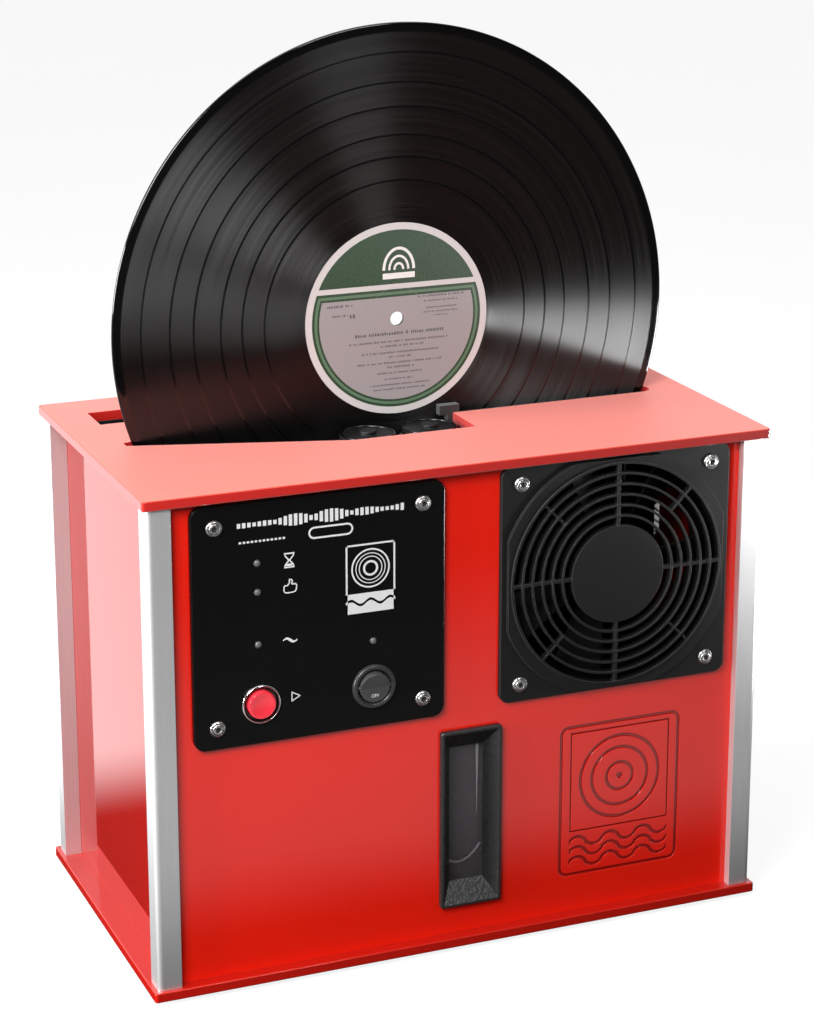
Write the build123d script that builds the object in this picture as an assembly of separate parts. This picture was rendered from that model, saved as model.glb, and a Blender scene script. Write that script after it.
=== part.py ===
"""Upright record cleaning machine with a record standing in its washing slot.

Frame: origin on the floor under the middle of the case, +X to the right,
+Y to the back, +Z up.  Millimetres.  The record hangs in an upright plane
that lies RECORD_Y behind the middle of the case.
"""
from build123d import *
import os
from math import acos, asin, atan2, ceil, cos, degrees, pi, radians, sin, sqrt, tan

# ---------------------------------------------------------------- case
CASE_DEPTH = 186.0          # top and base plates, front to back
BODY_HEIGHT = 256.0         # underside of the base plate to the top face
PLATE_THICK = 5.0
PLATE_CORNER = 1.5          # corner radius of the plates
PLATE_BEVEL = 0.4
FOOT_HEIGHT = 3.0
FOOT_RADIUS = 9.0
FOOT_INSET = 24.0

POST_SIZE = 12.0            # square corner posts
POST_ROUND = 2.5            # outer corner radius
POST_SIDE_INSET = 2.3       # post behind the plates' side edges
POST_FRONT_INSET = 2.0      # post behind the plates' front and back edges
POST_BORE = 2.1             # screw channel radius
POST_SCREW_DEPTH = 14.0
FACE_RECESS = 5.0           # front and rear panels behind the posts
SIDE_RECESS = 8.8           # side panels behind the posts
FACE_THICK = 3.0
SIDE_THICK = 2.0
GROOVE_DEPTH = 2.0          # panels held in grooves of the posts
GROOVE_PLAY = 0.1
TANK_SIDE_GAP = 2.9         # side panels clear of the washing tank's ends

# ---------------------------------------------------------------- record and its slot
RECORD_RADIUS = 150.8
RECORD_THICK = 2.0          # at the rim bead and the label
GROOVE_AREA_THICK = 1.5
RIM_BEAD = 3.4              # width of the rim bead
LABEL_RADIUS = 50.0
LABEL_THICK = 0.15
RECORD_HOLE = 3.63
RECORD_Y = 3.3
RECORD_RISE = 51.3          # record centre above the top face

SLOT_END_PLAY = 3.7         # slot beyond the record at each end
SLOT_WIDTH = 12.6           # narrow right wing
SLOT_TIP_WIDTH = 5.4        # left tip
BAY_LEFT = -37.0            # wide drum bay of the slot
BAY_RIGHT = 29.0
BAY_HALF_DEPTH = 35.3
BAY_CORNER = 1.2

# ---------------------------------------------------------------- washing tank and drums
TANK_STEP = 2.0             # tank wall outside the slot's edge
TANK_WALL = 2.5
TANK_FLOOR = 3.0
TANK_FLOOR_GAP = 8.5        # record above the tank's floor
AIR_SLOT_WIDTH = 6.0
AIR_SLOT_HEIGHT = 40.0
AIR_SLOT_PITCH = 11.0
AIR_SLOT_BELOW_TOP = 8.0

DRUM_RADIUS = 15.7          # microfibre sleeve
DRUM_GAP = 0.3              # sleeve to the record's bead
DRUM_WALL_GAP = 1.8         # sleeve to the bay's right edge
DRUM_CORE_RADIUS = 11.5
DRUM_TOP_DROP = 3.0         # drum top below the top face
DRUM_FLOOR_GAP = 3.0
DRUM_CAP_THICK = 5.0
DRUM_KNOB_RADIUS = 4.5
DRUM_KNOB_RISE = 2.0        # finger hub above the drum's top
AXLE_RADIUS = 3.0
RUNNING_PLAY = 0.05         # radial clearance of every running fit

GEAR_TEETH = 17
GEAR_THICK = 8.0
GEAR_FLOOR_GAP = 2.0
PINION_TEETH = 10
PINION_ANGLE = 225.0        # where the pinion sits around the front left gear
BRACKET_THICK = 2.0
BRACKET_GAP = 2.0
BRACKET_MARGIN = 8.0
BRACKET_BOSS = 4.0
DRUM_MOTOR_RADIUS = 12.0
DRUM_MOTOR_LENGTH = 21.0

ROLLER_ANGLE = 32.0         # support rollers, from the record's lowest point
ROLLER_GROOVE_RADIUS = 9.0
ROLLER_RADIUS = 11.5
ROLLER_WIDTH = 10.0
ROLLER_GROOVE_WIDTH = 3.0
ROLLER_GAP = 0.3
SHAFT_RADIUS = 2.0
RECORD_MOTOR_RADIUS = 12.5
RECORD_MOTOR_LENGTH = 28.0

WIPER_LEFT = 26.2
WIPER_LENGTH = 6.5
WIPER_GAP = 0.4
WIPER_RISE = 4.0
WIPER_HEAD = 4.6            # head reaches this far left of the blade
WIPER_HEAD_DROP = 1.0       # underside of the head below the top face
WIPER_SLOT_GAP = 0.2

TRANSDUCER_RADIUS = 16.0
TRANSDUCER_LENGTH = 32.0
TRANSDUCER_X = -97.0

# ---------------------------------------------------------------- filter
FILTER_SLOT_FROM_LEFT = 19.5  # from the plates' left edge
FILTER_SLOT_LENGTH = 90.0
FILTER_SLOT_WIDTH = 24.3
FILTER_FROM_RECORD = 52.1   # middle of the slot behind the record
FILTER_WALL = 1.5
FILTER_WELL_DEPTH = 112.0   # well below the top plate
FILTER_PLAY = 0.4
FILTER_HEIGHT = 88.0
FILTER_RIM = 5.0
FILTER_TAB = 9.0

# ---------------------------------------------------------------- fans and guards
FAN_SIZE = 120.0
FAN_DEPTH = 25.0
FAN_HOLE_INSET = 7.5        # screw holes from the frame's sides
FAN_WALL = 2.0              # frame beside its bore
FAN_CUT_PLAY = 2.0          # panels cut back from the fan's bore
FAN_HUB = 22.0
FAN_TIP_GAP = 1.5
FAN_BLADES = 7
FAN_CORNER = 5.0
GUARD_SIDE_LAP = 3.5        # guard past the fan's frame, left and right
GUARD_END_LAP = 1.7         # and above and below
GUARD_TOP_GAP = 0.7
GUARD_CORNER = 5.5
GUARD_BASE = 2.5
GUARD_STEP = 4.2            # raised platform round the grille
GUARD_PROUD = 5.0
GUARD_RING_DEPTH = 3.6
GUARD_RING_WIDTH = 1.2
GUARD_RINGS = 6
GUARD_HUB = 25.6
GUARD_RING_LAP = 0.6        # outermost ring past the fan's bore
GUARD_PLATFORM_RIM = 5.9    # platform round the outermost ring
GUARD_PLATFORM_SIDE = 1.4   # and where its sides are flat
SPOKE_WIDTH = 1.8
SCREW_HOLE = 2.15
SCREW_HEAD = 3.9
SCREW_HEAD_HEIGHT = 2.1
SCREW_SHANK = 2.0
SCREW_SOCKET = 1.3

# ---------------------------------------------------------------- control plate
CONTROL_WIDTH = 130.0
CONTROL_HEIGHT = 122.6
CONTROL_THICK = 3.0
CONTROL_CORNER = 6.0
CONTROL_TOP_GAP = 2.4
CONTROL_LEFT_SHARE = 0.211  # of the panel's free width, left of the control plate
GUARD_RIGHT_SHARE = 0.138   # of the panel's free width, right of the fan guard
CONTROL_SCREW_X = 106.6
CONTROL_SCREW_Z = 101.0
LED_RADIUS = 1.5
LED_PROUD = 0.5
LED_COLUMN = -32.1          # lamps beside the symbols, from the plate's middle
LED_HEIGHTS = (30.7, 16.1, -10.4)
LAMP_X = 27.1               # lamp above the power switch
LAMP_Z = -16.6
START_X = -31.3
START_Z = -40.6
START_BEZEL = 10.0
START_BEZEL_PROUD = 2.4
START_BARREL = 8.0
START_BORE = 7.6
START_CAP = 7.1
START_CAP_PROUD = 3.8
START_STEM = 4.0
START_DEPTH = 22.0
START_TRAVEL = 1.5
SWITCH_X = 27.3
SWITCH_Z = -40.2
SWITCH_RING = 11.4
SWITCH_RING_PROUD = 2.0
SWITCH_BARREL = 10.0
SWITCH_BORE = 8.3
SWITCH_DEPTH = 20.0
ROCKER_RADIUS = 7.9
ROCKER_TILT = 7.5
ROCKER_PIVOT = 0.4          # pivot in front of the control plate's face
ROCKER_RISE = 1.6
ROCKER_PIN = 1.0
HOLE_PLAY = 0.15

# ---------------------------------------------------------------- window and emblem
WINDOW_X = 3.4
WINDOW_TOP_GAP = 10.7       # below the guard
WINDOW_WIDTH = 33.2
WINDOW_HEIGHT = 96.0
WINDOW_PROUD = 3.0
WINDOW_RIM = 1.6
WINDOW_LIP = 2.2            # flange over the panel
WINDOW_DEPTH = 5.0          # bezel behind the panel's front
PANE_WIDTH = 18.4
PANE_HEIGHT = 72.8
PANE_THICK = 1.8
EMBLEM_X = 87.9
EMBLEM_TOP_GAP = 18.9       # below the guard
EMBLEM_WIDTH = 68.6
EMBLEM_HEIGHT = 83.4
EMBLEM_CORNER = 5.0
EMBLEM_LINE = 1.8
EMBLEM_DEPTH = 0.8
EMBLEM_BOX_WIDTH = 56.6
EMBLEM_BOX_HEIGHT = 55.0
EMBLEM_BOX_TOP_GAP = 4.0
EMBLEM_BORDER_GAP = 4.2

# ---------------------------------------------------------------- inside and rear
RESERVOIR_GAP = 3.0         # under the drum motor
RESERVOIR_WALL = 2.5
RESERVOIR_SIDE_GAP = 6.0
RESERVOIR_FACE_GAP = 1.5
PUMP_LENGTH = 50.0
PUMP_WIDTH = 38.0
PUMP_HEIGHT = 30.0
PUMP_FROM_FAN = 15.2        # right of the fan's axis
PUMP_REAR_GAP = 27.0        # clear of the rear panel
PIPE_RADIUS = 4.0
PIPE_BORE = 2.8
PIPE_BEND = 9.0
NIPPLE_LENGTH = 7.0
FEED_FROM_BAY = 27.0        # feed hole right of the drum bay
DRAIN_FROM_FAN = 28.2       # right of the fan's axis
DRAIN_TOP_GAP = 1.9         # below the rear guard
DRAIN_RADIUS = 9.0
DRAIN_BORE = 4.0
DRAIN_BORE_DEPTH = 15.0
INLET_GAP = 7.3             # between the inlet's plate and the rear guard
INLET_RISE = 10.0           # inlet's flange above the guard's lower edge
INLET_PLATE_WIDTH = 58.0
INLET_PLATE_HEIGHT = 44.0
INLET_PLATE_THICK = 2.0
INLET_PLATE_LAP = 6.0       # plate over the panel round its cut-out
INLET_RIVET = 1.9
INLET_FLANGE_WIDTH = 50.0
INLET_FLANGE_HEIGHT = 24.0
INLET_FLANGE_THICK = 3.0
INLET_BODY_WIDTH = 28.0
INLET_BODY_HEIGHT = 20.4
INLET_CAVITY_WIDTH = 24.4
INLET_CAVITY_HEIGHT = 16.6
INLET_CAVITY_DEPTH = 17.0
INLET_DEPTH = 24.0
INLET_SCREW_PITCH = 40.0
INLET_SCREW_HOLE = 1.6
BOARD_WIDTH = 112.0
BOARD_HEIGHT = 72.0
BOARD_THICK = 1.6
BOARD_STANDOFF = 4.0
BOARD_BELOW_TOP = 9.0

# ---------------------------------------------------------------- levels and faces
slot_half_length = sqrt(RECORD_RADIUS ** 2 - RECORD_RISE ** 2) + SLOT_END_PLAY
side_band = TANK_STEP + TANK_WALL + TANK_SIDE_GAP + SIDE_THICK + SIDE_RECESS + POST_SIDE_INSET
case_width = 2 * (slot_half_length + side_band)     # top and base plates, left to right
left_edge, right_edge = -case_width / 2, case_width / 2
front_edge, rear_edge = -CASE_DEPTH / 2, CASE_DEPTH / 2
base_top = FOOT_HEIGHT + PLATE_THICK
top_face = FOOT_HEIGHT + BODY_HEIGHT
plate_under = top_face - PLATE_THICK
inner_height = plate_under - base_top

post_x = right_edge - POST_SIDE_INSET - POST_SIZE / 2
post_y = rear_edge - POST_FRONT_INSET - POST_SIZE / 2
face_y = post_y + POST_SIZE / 2 - FACE_RECESS       # outer face of the rear panel
face_back = face_y - FACE_THICK                     # its inner face
side_x = post_x + POST_SIZE / 2 - SIDE_RECESS       # outer face of the right panel
side_back = side_x - SIDE_THICK

record_z = top_face + RECORD_RISE
record_bottom = record_z - RECORD_RADIUS
tank_floor_top = record_bottom - TANK_FLOOR_GAP
tank_floor_under = tank_floor_top - TANK_FLOOR

drum_offset = RECORD_THICK / 2 + DRUM_GAP + DRUM_RADIUS   # drum axle from the record's plane
drum_pitch = 2 * drum_offset
drum_right_x = BAY_RIGHT - DRUM_WALL_GAP - DRUM_RADIUS
drum_left_x = drum_right_x - drum_pitch
gear_module = drum_pitch / GEAR_TEETH
gear_top = tank_floor_under - GEAR_FLOOR_GAP
gear_under = gear_top - GEAR_THICK
bracket_top = gear_under - BRACKET_GAP
bracket_under = bracket_top - BRACKET_THICK
pinion_distance = gear_module * (GEAR_TEETH + PINION_TEETH) / 2
motor_x = drum_left_x + pinion_distance * cos(radians(PINION_ANGLE))
motor_y = RECORD_Y - drum_offset + pinion_distance * sin(radians(PINION_ANGLE))

roller_distance = RECORD_RADIUS + ROLLER_GAP + ROLLER_GROOVE_RADIUS
roller_x = roller_distance * sin(radians(ROLLER_ANGLE))
roller_z = record_z - roller_distance * cos(radians(ROLLER_ANGLE))

post_band = POST_SIDE_INSET + POST_SIZE
fan_pitch = FAN_SIZE - 2 * FAN_HOLE_INSET
fan_bore = FAN_SIZE / 2 - FAN_WALL
guard_width = FAN_SIZE + 2 * GUARD_SIDE_LAP
guard_height = FAN_SIZE + 2 * GUARD_END_LAP
guard_outer = fan_bore + GUARD_RING_LAP              # outside of the outermost ring
free_width = case_width - 2 * post_band - CONTROL_WIDTH - guard_width
fan_x = right_edge - post_band - GUARD_RIGHT_SHARE * free_width - guard_width / 2
guard_z = plate_under - GUARD_TOP_GAP - guard_height / 2
guard_under = guard_z - guard_height / 2
window_z = guard_under - WINDOW_TOP_GAP - WINDOW_HEIGHT / 2
emblem_z = guard_under - EMBLEM_TOP_GAP - EMBLEM_HEIGHT / 2
control_x = left_edge + post_band + CONTROL_LEFT_SHARE * free_width + CONTROL_WIDTH / 2
control_z = plate_under - CONTROL_TOP_GAP - CONTROL_HEIGHT / 2
control_face = face_y + CONTROL_THICK
drain_rise = PUMP_HEIGHT * 0.3                       # pump's nipples above its seat
reservoir_top = min(bracket_under - DRUM_MOTOR_LENGTH - RESERVOIR_GAP,
                    guard_under - DRAIN_TOP_GAP - DRAIN_RADIUS - drain_rise)
pump_x = fan_x + PUMP_FROM_FAN
pump_y = face_back - PUMP_REAR_GAP - PUMP_WIDTH / 2
drain_x = fan_x + DRAIN_FROM_FAN
drain_run = PUMP_REAR_GAP - DRAIN_BORE_DEPTH / 2     # pump to the drain pipe's far end
drain_bend = drain_run * 0.3
drain_seat = drain_run / 2 - drain_bend - HOLE_PLAY  # straight start of the drain pipe
feed_x = BAY_RIGHT + FEED_FROM_BAY
inlet_x = fan_x - guard_width / 2 - INLET_GAP - INLET_PLATE_WIDTH / 2
inlet_rise = INLET_PLATE_THICK + INLET_FLANGE_THICK  # flange's face before the rear panel
inlet_cut_width = INLET_PLATE_WIDTH - 2 * INLET_PLATE_LAP
inlet_cut_height = INLET_PLATE_HEIGHT - 2 * INLET_PLATE_LAP
inlet_z = guard_under + INLET_RISE + INLET_FLANGE_HEIGHT / 2
window_back = face_y - WINDOW_DEPTH
pane_back = window_back - PANE_THICK
drain_z = reservoir_top + drain_rise
filter_x = left_edge + FILTER_SLOT_FROM_LEFT + FILTER_SLOT_LENGTH / 2
filter_y = RECORD_Y + FILTER_FROM_RECORD
well_floor = plate_under - FILTER_WELL_DEPTH


# ---------------------------------------------------------------- helpers
def facing_front(x, z, y=0.0):
    """Place for a piece seen from the front: X right, Y up, Z towards the viewer."""
    return Plane(origin=(x, -y, z), x_dir=(1, 0, 0), z_dir=(0, -1, 0)).location


def facing_rear(x, z, y=0.0):
    """Place for a piece seen from behind: X to that viewer's right, Y up, Z outwards."""
    return Plane(origin=(x, y, z), x_dir=(-1, 0, 0), z_dir=(0, 1, 0)).location


def rod(radius, low, high, x=0.0, y=0.0):
    """Upright cylinder between two heights."""
    return Pos(x, y, (low + high) / 2) * Cylinder(radius, high - low)


def block(low, high):
    """Box between two opposite corners."""
    size = [b - a for a, b in zip(low, high)]
    middle = [(a + b) / 2 for a, b in zip(low, high)]
    return Pos(*middle) * Box(*size)


def ring(outer, inner, low, high):
    """Upright ring between two heights."""
    return rod(outer, low, high) - rod(inner, low - 1, high + 1)


def slab(profile, low, high):
    """A flat outline given thickness between two heights."""
    return extrude(Pos(0, 0, low) * profile, amount=high - low, dir=(0, 0, 1))


def save(name, *solids):
    """Write one node; a group of alike pieces is one compound of separate solids."""
    shape = solids[0] if len(solids) == 1 else Compound(children=list(solids))
    export_step(shape, f"parts/{name}.step")


def solids_of(shape):
    """The separate solids of a result, as a list."""
    return list(shape.solids())


def corners(pitch_x, pitch_y):
    """The four corner places of a rectangular pattern, as (x, y)."""
    return [(sx * pitch_x / 2, sy * pitch_y / 2) for sx in (-1, 1) for sy in (-1, 1)]


# ---------------------------------------------------------------- outlines
def slot_outline(grow=0.0):
    """Opening for the record: pointed left wing, wide drum bay, narrow right wing."""
    tip = SLOT_TIP_WIDTH / 2 + grow
    wing = SLOT_WIDTH / 2 + grow
    bay = BAY_HALF_DEPTH + grow
    slope = (BAY_HALF_DEPTH - SLOT_TIP_WIDTH / 2) / (BAY_LEFT + slot_half_length)
    left = -slot_half_length - grow
    bay_left = BAY_LEFT - grow * (sqrt(1 + slope ** 2) - 1) / slope
    tip = bay - slope * (bay_left - left)
    end = slot_half_length - SLOT_WIDTH / 2
    bay_right = BAY_RIGHT + grow
    upper = Polyline((end, wing), (bay_right, wing), (bay_right, bay), (bay_left, bay), (left, tip),
                     (left, -tip), (bay_left, -bay), (bay_right, -bay), (bay_right, -wing), (end, -wing))
    nose = ThreePointArc((end, -wing), (end + wing, 0), (end, wing))
    return Pos(0, RECORD_Y, 0) * make_face([upper, nose])


def rounded(width, height, radius):
    """Rounded rectangle outline."""
    return RectangleRounded(width, height, radius)


# ---------------------------------------------------------------- plates, posts, panels
def case_plate(low):
    """Flat plate with softened corners and edges."""
    plate = slab(rounded(case_width, CASE_DEPTH, PLATE_CORNER), low, low + PLATE_THICK)
    faces = plate.faces().sort_by(Axis.Z)
    return chamfer(faces[0].edges() + faces[-1].edges(), PLATE_BEVEL)


def base_screw_places():
    """Middle of each post."""
    return corners(2 * post_x, 2 * post_y)


def base_plate():
    plate = case_plate(FOOT_HEIGHT)
    for x, y in base_screw_places():
        plate -= rod(POST_BORE, FOOT_HEIGHT - 1, base_top + 1, x, y)
        plate -= Pos(x, y, FOOT_HEIGHT) * Cone(2 * POST_BORE, POST_BORE, 2 * POST_BORE,
                                              align=(Align.CENTER, Align.CENTER, Align.MIN))
    return plate


def base_screws():
    """Countersunk screws that hold the posts to the base."""
    screws = []
    for x, y in base_screw_places():
        screw = rod(POST_BORE, FOOT_HEIGHT + 0.4, base_top + POST_SCREW_DEPTH, x, y)
        head = Pos(x, y, FOOT_HEIGHT) * Cone(2 * POST_BORE, POST_BORE, 2 * POST_BORE,
                                            align=(Align.CENTER, Align.CENTER, Align.MIN))
        socket = rod(SCREW_SOCKET, FOOT_HEIGHT - 1, FOOT_HEIGHT + 2, x, y)
        screws.append(screw + head - socket)
    return screws


def top_plate():
    plate = case_plate(plate_under)
    plate -= slab(slot_outline(), plate_under - 1, top_face + 1)
    plate -= slab(filter_slot(0.0), plate_under - 1, top_face + 1)
    return plate


def filter_slot(grow):
    """Rectangular outline of the filter slot, grown by a wall or shrunk by a play."""
    return Pos(filter_x, filter_y, 0) * Rectangle(FILTER_SLOT_LENGTH + 2 * grow,
                                                       FILTER_SLOT_WIDTH + 2 * grow)


def rear_right_post():
    """Square post, outer corner rounded, with a groove for the rear and the side panel."""
    half = POST_SIZE / 2
    sketch = Pos(post_x, post_y, 0) * Rectangle(POST_SIZE, POST_SIZE)
    outer = sketch.vertices().sort_by(Axis.X)[-2:].sort_by(Axis.Y)[-1]
    sketch = fillet(outer, POST_ROUND)
    inner = [v for v in sketch.vertices() if v.X < post_x and v.Y < post_y]
    sketch = fillet(inner, 0.6)
    post = slab(sketch, base_top, plate_under)
    play = GROOVE_PLAY / 2
    post -= block((post_x - half - 1, face_back - play, base_top - 1),
                  (post_x - half + GROOVE_DEPTH, face_y + play, plate_under + 1))
    post -= block((side_back - play, post_y - half - 1, base_top - 1),
                  (side_x + play, post_y - half + GROOVE_DEPTH, plate_under + 1))
    for low in (base_top - 1, plate_under - POST_SCREW_DEPTH):
        post -= rod(POST_BORE, low, low + POST_SCREW_DEPTH + 1, post_x, post_y)
    return post


def face_panel(outward):
    """Front or rear panel, before its holes; outward is the sign of its outer face."""
    half = post_x - POST_SIZE / 2 + GROOVE_DEPTH - GROOVE_PLAY
    low, high = sorted((outward * face_back, outward * face_y))
    return block((-half, low, base_top), (half, high, plate_under))


def side_panel(outward):
    """Left or right panel."""
    half = post_y - POST_SIZE / 2 + GROOVE_DEPTH - GROOVE_PLAY
    low, high = sorted((outward * side_back, outward * side_x))
    return block((low, -half, base_top), (high, half, plate_under))


def drill(place, radius, depth=40.0):
    """Round cutter through a panel, along the piece's own Z."""
    return place * Cylinder(radius, depth)


def emblem_grooves():
    """Engraved frame with a plain disc and three waves, as one cutter on local Z = 0."""
    depth = EMBLEM_DEPTH
    border = rounded(EMBLEM_WIDTH, EMBLEM_HEIGHT, EMBLEM_CORNER)
    border -= rounded(EMBLEM_WIDTH - 2 * EMBLEM_LINE, EMBLEM_HEIGHT - 2 * EMBLEM_LINE,
                      EMBLEM_CORNER - EMBLEM_LINE)
    box_y = EMBLEM_HEIGHT / 2 - EMBLEM_BOX_TOP_GAP - EMBLEM_BOX_HEIGHT / 2
    frame = Rectangle(EMBLEM_BOX_WIDTH, EMBLEM_BOX_HEIGHT)
    frame -= Rectangle(EMBLEM_BOX_WIDTH - EMBLEM_LINE, EMBLEM_BOX_HEIGHT - EMBLEM_LINE)
    disc = Sketch()
    disc_radius = EMBLEM_BOX_HEIGHT / 2 - EMBLEM_BORDER_GAP
    for share in (1.0, 0.72, 0.36):
        outer = disc_radius * share
        disc += Circle(outer) - Circle(outer - EMBLEM_LINE)
    disc += Circle(EMBLEM_LINE)
    art = border + Pos(0, box_y, 0) * (frame + disc)
    floor = -EMBLEM_HEIGHT / 2 + EMBLEM_LINE
    room = box_y - EMBLEM_BOX_HEIGHT / 2 - floor
    for row in (1, 2, 3):
        art += Pos(0, floor + room * row / 4, 0) * wave_line()
    return slab(art, -depth, depth)


def wave_line():
    """Three-hump wave of even width, as wide as the emblem's inner box."""
    span = EMBLEM_BOX_WIDTH / 6
    rise = span * 0.28
    line = Sketch()
    for i in range(6):
        side = 1 if i % 2 == 0 else -1
        start = -3 * span + i * span
        radius = (span ** 2 / 4 + rise ** 2) / (2 * rise)
        centre = Pos(start + span / 2, side * (rise - radius), 0)
        arc = centre * (Circle(radius + EMBLEM_LINE / 2) - Circle(radius - EMBLEM_LINE / 2))
        window = Pos(start + span / 2, side * rise / 2, 0) * Rectangle(span, 2 * rise + EMBLEM_LINE)
        line += arc & window
    return line


def guard_screw_places():
    return corners(fan_pitch, fan_pitch)


def control_screw_places():
    return corners(CONTROL_SCREW_X, CONTROL_SCREW_Z)


def lamp_places():
    """Indicator lamps on the control plate."""
    return [(LED_COLUMN, h) for h in LED_HEIGHTS] + [(LAMP_X, LAMP_Z)]


def front_panel():
    panel = face_panel(-1)
    panel -= drill(facing_front(fan_x, guard_z, face_y), fan_bore + FAN_CUT_PLAY)
    for x, y in guard_screw_places():
        panel -= drill(facing_front(fan_x + x, guard_z + y, face_y), SCREW_SHANK)
    for x, y in control_screw_places():
        panel -= drill(facing_front(control_x + x, control_z + y, face_y), SCREW_SHANK)
    for x, y in lamp_places():
        panel -= drill(facing_front(control_x + x, control_z + y, face_y), LED_RADIUS + 1)
    panel -= drill(facing_front(control_x + START_X, control_z + START_Z, face_y),
                   START_BARREL + HOLE_PLAY)
    panel -= drill(facing_front(control_x + SWITCH_X, control_z + SWITCH_Z, face_y),
                   SWITCH_BARREL + HOLE_PLAY)
    spigot = window_spigot(HOLE_PLAY)
    panel -= facing_front(WINDOW_X, window_z, face_y) * slab(spigot, -2 * FACE_THICK, FACE_THICK)
    panel -= facing_front(EMBLEM_X, emblem_z, face_y) * emblem_grooves()
    return panel


def rear_panel():
    panel = face_panel(1)
    panel -= drill(facing_rear(fan_x, guard_z, face_y), fan_bore + FAN_CUT_PLAY)
    for x, y in guard_screw_places():
        panel -= drill(facing_rear(fan_x + x, guard_z + y, face_y), SCREW_SHANK)
    panel -= drill(facing_rear(drain_x, drain_z, face_y), DRAIN_RADIUS - 2 + HOLE_PLAY)
    cut = Rectangle(inlet_cut_width, inlet_cut_height)
    panel -= facing_rear(inlet_x, inlet_z, face_y) * slab(cut, -2 * FACE_THICK, FACE_THICK)
    return panel


def feet():
    places = corners(case_width - 2 * FOOT_INSET, CASE_DEPTH - 2 * FOOT_INSET)
    pads = [rod(FOOT_RADIUS, 0, FOOT_HEIGHT, x, y) for x, y in places]
    return [chamfer(pad.edges().sort_by(Axis.Z)[0], 0.6) for pad in pads]


# ---------------------------------------------------------------- control plate
def control_plate():
    """Black plate with the lamps, the start button and the power switch."""
    plate = slab(rounded(CONTROL_WIDTH, CONTROL_HEIGHT, CONTROL_CORNER), 0, CONTROL_THICK)
    plate = chamfer(plate.faces().sort_by(Axis.Z)[-1].edges(), 0.5)
    for x, y in control_screw_places():
        plate -= drill(Pos(x, y, 0), SCREW_HOLE)
    for x, y in lamp_places():
        plate -= drill(Pos(x, y, 0), LED_RADIUS + RUNNING_PLAY)
    plate -= drill(Pos(START_X, START_Z, 0), START_BARREL + HOLE_PLAY)
    plate -= drill(Pos(SWITCH_X, SWITCH_Z, 0), SWITCH_BARREL + HOLE_PLAY)
    return facing_front(control_x, control_z, face_y) * plate


def button_head_screw(length):
    """Domed socket screw; its head sits on local Z = 0, the shank goes below."""
    height, radius = SCREW_HEAD_HEIGHT, SCREW_HEAD
    dome_radius = (radius ** 2 + height ** 2) / (2 * height)
    dome = Pos(0, 0, height - dome_radius) * Sphere(dome_radius)
    head = dome & rod(radius, 0, height)
    socket = slab(RegularPolygon(SCREW_SOCKET, 6), height - 1.4, height + 1)
    return head + rod(SCREW_SHANK, -length, 0.2) - socket


def screws_on(place_of, pattern, face, length):
    """Button head screws on a pattern; face is how far the seat stands from mid-case."""
    return [place_of(x, y, face) * button_head_screw(length) for x, y in pattern]


def control_plate_screws():
    spots = [(control_x + x, control_z + y) for x, y in control_screw_places()]
    return screws_on(facing_front, spots, control_face, CONTROL_THICK + FACE_THICK)


def indicator_leds():
    lamps = []
    for x, y in lamp_places():
        lens = rod(LED_RADIUS, -CONTROL_THICK - FACE_THICK - 1, LED_PROUD)
        lens = fillet(lens.edges().sort_by(Axis.Z)[-1], LED_RADIUS * 0.6)
        lamps.append(facing_front(control_x + x, control_z + y, control_face) * lens)
    return lamps


def start_button_bezel():
    """Metal ring and barrel of the push button, with its fixing nut behind the panel."""
    bezel = rod(START_BEZEL, 0, START_BEZEL_PROUD)
    bezel = fillet(bezel.edges().sort_by(Axis.Z)[-1], START_BEZEL_PROUD * 0.6)
    bezel += rod(START_BARREL, -START_DEPTH, 0)
    nut_top = -CONTROL_THICK - FACE_THICK
    bezel += slab(RegularPolygon(START_BEZEL, 6), nut_top - 3, nut_top)
    pocket = START_CAP_PROUD + START_TRAVEL
    bezel -= rod(START_BORE, -pocket, START_BEZEL_PROUD + 1)
    bezel -= rod(START_STEM + RUNNING_PLAY, -START_DEPTH + 3, 1)
    return facing_front(control_x + START_X, control_z + START_Z, control_face) * bezel


def start_button_cap():
    """Domed red cap on a stem that slides in the barrel."""
    under = START_TRAVEL - START_CAP_PROUD + 0.5
    dome = 2.0
    dome_radius = (START_CAP ** 2 + dome ** 2) / (2 * dome)
    cap = rod(START_CAP, under, START_CAP_PROUD)
    cap &= Pos(0, 0, START_CAP_PROUD - dome_radius) * Sphere(dome_radius)
    cap += rod(START_STEM, -START_DEPTH + 4 + START_TRAVEL, under + 0.5)
    return facing_front(control_x + START_X, control_z + START_Z, control_face) * cap


def power_switch_housing():
    """Round snap-in switch body: raised ring, barrel and blade terminals."""
    ring_face = rod(SWITCH_RING, 0, SWITCH_RING_PROUD)
    ring_face = fillet(ring_face.edges().sort_by(Axis.Z)[-1], SWITCH_RING_PROUD * 0.6)
    body = ring_face + rod(SWITCH_BARREL, -SWITCH_DEPTH, 0)
    body -= rod(SWITCH_BORE, ROCKER_PIVOT - SWITCH_BORE - 1, SWITCH_RING_PROUD + 1)
    pin = Pos(0, 0, ROCKER_PIVOT) * Rot(0, 90, 0) * Cylinder(ROCKER_PIN + RUNNING_PLAY,
                                                            2 * (SWITCH_BORE + 1.2))
    body -= pin
    for x in (-5, 0, 5):
        body += block((x - 0.4, -2.4, -SWITCH_DEPTH - 7), (x + 0.4, 2.4, -SWITCH_DEPTH))
    return facing_front(control_x + SWITCH_X, control_z + SWITCH_Z, control_face) * body


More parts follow.
